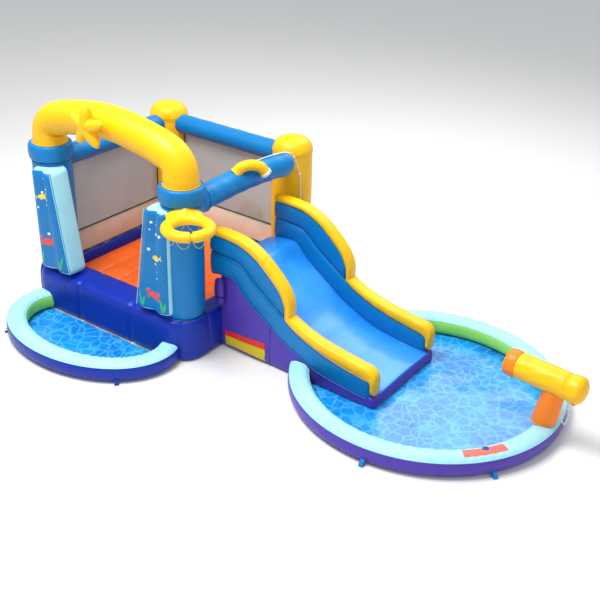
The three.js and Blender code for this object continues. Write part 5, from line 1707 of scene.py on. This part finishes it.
outlet_way = Vector((0, -1, 0))
PIPE_START = 0.118
outlet_start = Vector((FAN.x, FAN.y - PIPE_START, OUTLET_Z))
pipe_length = outlet_start.y - MOUTH
outlet = axis_loft("outlet_pipe", outlet_start, outlet_way, [
    (0, 0.056), (0, 0.062), (0.052, 0.062), (0.054, 0.071), (0.056, 0.072), (0.062, 0.072), (0.064, 0.071),
    (0.066, 0.0622), (pipe_length - 0.003, 0.0618),
    (pipe_length, 0.0605), (pipe_length, 0.057), (pipe_length - 0.012, 0.056),
], [lime_plastic], 72)
settle(outlet)
ribs = [[Vector((FAN.x + 0.063 * math.cos(a), FAN.y - 0.155 + 0.0105 * k, OUTLET_Z + 0.063 * math.sin(a)))
         for a in turns(60)] for k in range(3)]
grow("outlet_ribs", welt, ribs, {"Radius": 0.0018}, lime_plastic, closed=True)


def boss_tree():
    """A cross-recessed screw head over a washer, at each point and along its normal."""
    tree, given, lines, result = node_tree("screws", ["Head radius", "Head height"])
    head = tree_node(tree, "GeometryNodeMeshCylinder", {
        "Radius": given["Head radius"], "Depth": given["Head height"], "Vertices": 20,
    })
    washer_r = tree_node(tree, "ShaderNodeMath", {0: given["Head radius"], 1: 1.35},
                         {"operation": "MULTIPLY"})
    washer_h = tree_node(tree, "ShaderNodeMath", {0: given["Head height"], 1: 0.4},
                         {"operation": "MULTIPLY"})
    washer = tree_node(tree, "GeometryNodeMeshCylinder", {
        "Radius": washer_r.outputs[0], "Depth": washer_h.outputs[0], "Vertices": 24,
    })
    slot_long = tree_node(tree, "ShaderNodeCombineXYZ", {"X": washer_r.outputs[0], "Y": 0.0009, "Z": 0.0016})
    slot_short = tree_node(tree, "ShaderNodeCombineXYZ",
                           {"X": 0.0009, "Y": washer_r.outputs[0], "Z": 0.0016})
    lift = tree_node(tree, "ShaderNodeMath", {0: given["Head height"], 1: 0.5}, {"operation": "MULTIPLY"})
    raised = tree_node(tree, "ShaderNodeCombineXYZ", {"Z": lift.outputs[0]})
    both = tree_node(tree, "GeometryNodeJoinGeometry")
    for size in (slot_long, slot_short):
        bar = tree_node(tree, "GeometryNodeMeshCube", {"Size": size.outputs[0]})
        moved = tree_node(tree, "GeometryNodeTransform",
                          {"Geometry": bar.outputs[0], "Translation": raised.outputs[0]})
        tree.links.new(moved.outputs[0], both.inputs[0])
    for made in (head, washer):
        tree.links.new(made.outputs["Mesh"], both.inputs[0])
    spots = tree_node(tree, "GeometryNodeCurveToPoints", {"Curve": lines.outputs[0]}, {"mode": "COUNT"})
    spots.inputs["Count"].default_value = 1
    laid = tree_node(tree, "GeometryNodeInstanceOnPoints", {
        "Points": spots.outputs["Points"], "Instance": both.outputs[0],
        "Rotation": spots.outputs["Rotation"],
    })
    finish_tree(tree, given, result, laid.outputs[0])
    return tree


screws = boss_tree()
boss_places = [FAN + Vector((0, 0.176 * math.cos(a), 0.176 * math.sin(a))) for a in turns(8, 0.35)]
for i, spot in enumerate(boss_places):
    made = axis_loft(f"casing_boss_{i}", spot - TO_FRONT * 0.024, TO_FRONT, [
        (0, 0.0002), (0, 0.0082), (0.002, 0.009), (0.046, 0.009), (0.048, 0.0082), (0.048, 0.0002),
    ], [lime_plastic], 24)
    settle(made)
grow("casing_screws", screws, [[p + TO_FRONT * 0.0245, p + TO_FRONT * 0.03] for p in boss_places],
     {"Head radius": 0.0042, "Head height": 0.0024}, steel)

ring_profile = [(0.0855, 0.0850), (0.0855, 0.1415), (0.0875, 0.1420), (0.118, 0.127), (0.1225, 0.122),
                (0.1233, 0.114),
                (0.1225, 0.109), (0.108, 0.1045), (0.1015, 0.1040), (0.1010, 0.0855), (0.0990, 0.0850)]
settle(fan_loft("intake_ring_moulding", ring_profile, [cream_plastic]), "intake_ring")

# The grille is one moulded disc of small hexagonal holes in a plain rim.
grille_face = FAN.x + 0.0853 + 0.016
hole_pitch = 0.0168
hole_side = hole_pitch * 0.56
bars = []
for row in range(-7, 8):
    for place in range(-7, 8):
        y = (place + (0.5 if row % 2 else 0.0)) * hole_pitch
        z = row * hole_pitch * 0.866
        if math.hypot(y, z) < 0.090:
            bars.append([Vector((grille_face + 0.0028, FAN.y + y + hole_side * math.cos(a),
                                 FAN.z + z + hole_side * math.sin(a))) for a in turns(6, math.pi / 6)])
grow("grille_honeycomb", welt, [b + b[:1] for b in bars], {"Radius": 0.0019}, green_plastic)
rim_profile = [(0.1013, 0.0845), (0.1013, 0.1020), (0.1058, 0.1020), (0.1070, 0.1005), (0.1070, 0.0870),
               (0.1058, 0.0845)]
grille_rim = fan_loft("grille_rim", rim_profile, [green_plastic])
settle(grille_rim, "intake_grille")
grille_screws = [FAN + Vector((0.107, 0.0935 * math.cos(a), 0.0935 * math.sin(a)))
                 for a in turns(4, math.pi / 4)]
grow("grille_screws", screws, [[p, p + TO_FRONT * 0.004] for p in grille_screws],
     {"Head radius": 0.0034, "Head height": 0.0022}, steel)

flange_screws = [Vector((FAN.x + 0.067 * math.cos(a), FAN.y - PIPE_START - 0.0525,
                         OUTLET_Z + 0.067 * math.sin(a)))
                 for a in turns(4, math.pi / 4)]
grow("flange_screws", screws, [[p - toward_back * 0.0115, p - toward_back * 0.016] for p in flange_screws],
     {"Head radius": 0.0028, "Head height": 0.002}, steel)

# Inside: a white blower wheel on the motor's shaft, and the motor on the rear shell.
wheel = fan_loft("wheel_back_plate",
                 [(-0.018, 0.0064), (-0.018, 0.121), (-0.016, 0.122), (-0.014, 0.121), (-0.014, 0.022),
                                      (0.018, 0.020), (0.020, 0.018), (0.020, 0.0064)], [white], 72)
settle(wheel, "impeller", body="fan")
wheel_ring = fan_loft("wheel_front_ring",
                      [(0.058, 0.100), (0.058, 0.121), (0.060, 0.122), (0.062, 0.121), (0.062, 0.100),
                                           (0.060, 0.098)], [white], 72)
settle(wheel_ring, body="fan")
for i in range(30):
    angle = 2 * math.pi * i / 30
    blade = []
    for a in (-0.0145, 0.0585):
        section = []
        for sign in (1, -1):
            for s in (places(0, 1, 5) if sign > 0 else reversed(places(0, 1, 5))):
                r = 0.1005 + 0.0195 * s
                turn = angle + 0.16 * math.sin(s * math.pi * 0.5) + sign * 0.006
                section.append(FAN + Vector((a, r * math.cos(turn), r * math.sin(turn))))
        blade.append(section)
    settle(loft(f"wheel_blade_{i}", blade, [white]), body="fan")
shaft = fan_loft("fan_shaft",
                 [(-0.048, 0.0002), (-0.048, 0.0055), (-0.047, 0.006), (0.023, 0.006), (0.024, 0.0055),
                               (0.024, 0.0002)], [steel], 32)
settle(shaft, "motor_shaft", body="fan")
motor_profile = [(-0.0787, 0.0002), (-0.0787, 0.056), (-0.076, 0.058), (-0.034, 0.058), (-0.030, 0.055),
                 (-0.028, 0.050),
                 (-0.028, 0.0068), (-0.050, 0.0068), (-0.050, 0.0002)]
settle(fan_loft("motor_can", motor_profile, [black], 64), "motor")

# The outlet's guard is a square mesh of steel wire, and the shell stands on two flat feet.
wires = []
guard_y = MOUTH + 0.007
for k in range(-5, 6):
    offset = k * 0.0095
    half = math.sqrt(0.0555**2 - offset**2)
    wires.append([Vector((FAN.x + offset, guard_y, OUTLET_Z - half)),
                  Vector((FAN.x + offset, guard_y, OUTLET_Z + half))])
    wires.append([Vector((FAN.x - half, guard_y, OUTLET_Z + offset)),
                  Vector((FAN.x + half, guard_y, OUTLET_Z + offset))])
guard = grow("outlet_guard_wires", welt, wires, {"Radius": 0.0009}, steel)
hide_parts("outlet_mesh")
for side in (-1, 1):
    middle = FAN.y + side * 0.1225
    settle(block(f"blower_foot_{side}", (FAN.x - 0.115, middle - 0.030, 0.0),
                 (FAN.x + 0.115, middle + 0.030, 0.009),
                 lime_plastic, 0.003))
    for across in (-0.048, 0.0, 0.048):
        web_rings = []
        for height, reach in ((0.006, 0.024), (0.05, 0.014), (0.112, 0.006)):
            web_rings.append([(FAN.x + across + a * 0.0035, middle + b * reach, height)
                              for a, b in CORNERS])
        settle(loft(f"blower_web_{side}_{across}", web_rings, [lime_plastic]))
foot_bolts = [Vector((FAN.x + a * 0.098, FAN.y + b * 0.1225, 0.0095)) for a in (-1, 1) for b in (-1, 1)]
grow("foot_screws", screws, [[p, p + Vector((0, 0, 0.004))] for p in foot_bolts],
     {"Head radius": 0.0046, "Head height": 0.0026}, steel)

# The switch box sits over the outlet, with the rocker facing the house and the lead's gland behind.
box_low, box_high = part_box("switch_box")
box_made = block("switch_box_moulding", box_low, (box_high[0], box_low[1] + 0.05, box_high[2]), lime_plastic,
                 0.004)
settle(box_made, "switch_box")
rocker_low, rocker_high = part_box("rocker_switch")
rocker_middle = (Vector(rocker_low) + Vector(rocker_high)) / 2
bezel = block("rocker_bezel", (rocker_middle.x - 0.0125, box_low[1] - 0.0016, rocker_middle.z - 0.0155),
              (rocker_middle.x + 0.0125, box_low[1] + 0.001, rocker_middle.z + 0.0155), black, 0.0007)
settle(bezel)
rocker_rings = []
for x in (-0.0085, -0.008, 0.008, 0.0085):
    inset = 0.0006 if abs(x) > 0.0082 else 0
    ring = []
    for share in places(-1, 1, 12):
        dip = 0.0012 * (1 - share**2)
        ring.append((rocker_middle.x + x, box_low[1] - 0.0042 + dip + inset + share * 0.0012,
                     rocker_middle.z + share * (0.0112 - inset)))
    ring += [(rocker_middle.x + x, box_low[1] + 0.003, rocker_middle.z + 0.0105),
             (rocker_middle.x + x, box_low[1] + 0.003, rocker_middle.z - 0.0105)]
    rocker_rings.append(ring)
settle(loft("rocker_button", rocker_rings, [black]), "rocker_switch", body="switch")
gland_low, gland_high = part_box("cable_gland")
gland_middle = (Vector(gland_low) + Vector(gland_high)) / 2
gland_start = Vector((gland_middle.x, gland_low[1], gland_middle.z))
gland_length = gland_high[1] - gland_low[1]
settle(axis_loft("gland_nut", gland_start, toward_back, [
    (0, 0.0002), (0, 0.0095), (gland_length - 0.02, 0.0095), (gland_length - 0.019, 0.0085),
    (gland_length - 0.012, 0.0085), (gland_length - 0.011, 0.0100), (gland_length - 0.003, 0.0098),
    (gland_length, 0.0080), (gland_length, 0.0042), (gland_length - 0.015, 0.0040),
    (gland_length - 0.015, 0.0002),
], [black], 32), "cable_gland")

# ---- Anchor loops and trim ----
# Folded webbing loops for ground stakes are sewn round the foot of the house and both pools. The
# label patches are left blank.


def tab(name, start, out, finish, wide=0.04, reach=0.05, height=0.03):
    """A folded webbing loop that leaves the seam at start and lies out along the ground."""
    side = Vector((-out.y, out.x, 0))
    upper = [(0.0, height), (reach * 0.5, height * 0.75), (reach * 0.9, 0.010), (reach, 0.006)]
    lower = [(reach, 0.0035), (reach * 0.88, 0.0026), (reach * 0.5, 0.006), (0.0, height * 0.62)]
    line = spline([start + out * a + Vector((0, 0, b - start.z)) for a, b in upper + lower], 40)
    settle(loft(name, ribbon(line, lambda ahead: side, wide / 2, 0.0009), [finish]))


royal_web = cloth_finish("royal_webbing", "royal_fabric", srgb(10, 52, 150), 1400)
aqua_web = cloth_finish("blue_webbing", "sky_fabric", srgb(20, 120, 200), 1400)
anchors = [
    (Vector((-0.55, HALF, 0)), Vector((0, 1, 0))), (Vector((0.78, HALF, 0)), Vector((0, 1, 0))),
    (Vector((-HALF, 0.55, 0)), Vector((-1, 0, 0))), (Vector((-HALF, -0.45, 0)), Vector((-1, 0, 0))),
]
for i, (start, out) in enumerate(anchors):
    tab(f"house_anchor_{i}", start - out * 0.002, out, royal_web, reach=0.035)
for label, centre, reach, bearings, web, long, height in (
    ("big_pool", pool_centre, pool_reach, (-85, -35, 35, 85), aqua_web, 0.05, 0.055),
    ("small_pool", small_centre, small_reach, (-140, -40), royal_web, 0.035, 0.05),
):
    for i, degrees in enumerate(bearings):
        turn = math.radians(degrees)
        out = about((0, 0), turn, 1, 1, 0)
        start = about(centre, turn, reach.x, reach.y, 0)
        tab(f"{label}_anchor_{i}", start - out * 0.010, out, web, reach=long, height=height)


# A blank coral patch lies on the large pool's rim, and a webbing flap on the base's corner.
coral = coated_fabric("coral_patch", "orange_fabric", srgb(250, 105, 95))
ring_skin = skin_of(bpy.data.objects["big_pool_tube"])


def over_pool(u, v):
    return Vector((u, v, 0.6))


def rim_band(name, inner, outer, turns, finish, lift):
    """A closed film on the rim: its places come from rays straight down."""
    count, wide = 40, 8
    tops = []
    for j in range(wide + 1):
        for i in range(count + 1):
            turn = math.radians(turns[0] + (turns[1] - turns[0]) * i / count)
            share = inner + (outer - inner) * j / wide
            a, b = pool_reach.x - RING_WIDTH * (1 - share), pool_reach.y - RING_WIDTH * (1 - share)
            hit = ring_skin.ray_cast(about(pool_centre, turn, a, b, 0.6), Vector((0, 0, -1)))[0]
            tops.append(hit + Vector((0, 0, lift)))
    rear = [p - Vector((0, 0, lift + 0.003)) for p in tops]
    settle(thin_sheet(name, tops, rear, count, wide, finish))


rim_band("rim_patch_film", 0.30, 0.74, (-47, -28), coral, 0.0015)
print_on("rim_patch_disc", [((3.985, -0.672), oval(0.03, 0.03))], ring_skin, over_pool, Vector((0, 0, -1)),
         ink_navy, 0.003)
flap_line = spline([(1.022, -0.52, BASE_TOP - 0.012), (1.024, -0.46, BASE_TOP + 0.008),
                    (1.030, -0.42, BASE_TOP - 0.004),
                    (1.050, -0.40, BASE_TOP - 0.06), (1.066, -0.395, BASE_TOP - 0.12)], 40)


def flap_across(ahead):
    across = Vector((0, 0, 1)).cross(ahead) if abs(ahead.z) < 0.9 else Vector((0.3, 1, 0))
    return across.normalized()


settle(loft("base_corner_flap", ribbon(flap_line, flap_across, 0.035, 0.0011), [royal_web]))

# ---- Floor and light ----
# A plain pale floor, a broad key light from the front left, a weak fill and an even sky.
ground_mesh = bpy.data.meshes.new("ground")
ground_mesh.from_pydata([(-400, -400, 0), (400, -400, 0), (400, 400, 0), (-400, 400, 0)], [], [(0, 1, 2, 3)])
ground = linked("ground", ground_mesh)
ground_paint = bpy.data.materials.new("pale_ground")
ground_paint.use_nodes = True
ground_paint.node_tree.nodes["Principled BSDF"].inputs["Base Color"].default_value = (0.8, 0.8, 0.79, 1)
ground_paint.node_tree.nodes["Principled BSDF"].inputs["Roughness"].default_value = 0.7
ground_mesh.materials.append(ground_paint)
ground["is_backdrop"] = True


def lamp(name, place, aim, size, power, colour=(1, 1, 1)):
    data = bpy.data.lights.new(name, "AREA")
    data.size, data.energy, data.color = size, power, colour
    light = linked(name, data)
    light.location = place
    light.rotation_euler = (Vector(aim) - Vector(place)).to_track_quat("-Z", "Y").to_euler()
    light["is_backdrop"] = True


lamp("key", (0.2, -2.8, 8.5), (1.4, 0, 0.6), 4.0, 900, (1.0, 0.985, 0.96))
lamp("fill", (9.5, -3.0, 4.5), (1.5, 0, 0.5), 5.0, 60, (0.95, 0.98, 1.0))
lamp("back", (1.0, 6.0, 7.0), (1.0, 0, 0.8), 5.0, 260)
world = bpy.data.worlds.new("sky")
world.use_nodes = True
world.node_tree.nodes["Background"].inputs["Color"].default_value = (0.93, 0.96, 1.0, 1)
world.node_tree.nodes["Background"].inputs["Strength"].default_value = 0.62
bpy.context.scene.world = world
bpy.context.scene.view_settings.view_transform = "Standard"

low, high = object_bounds()
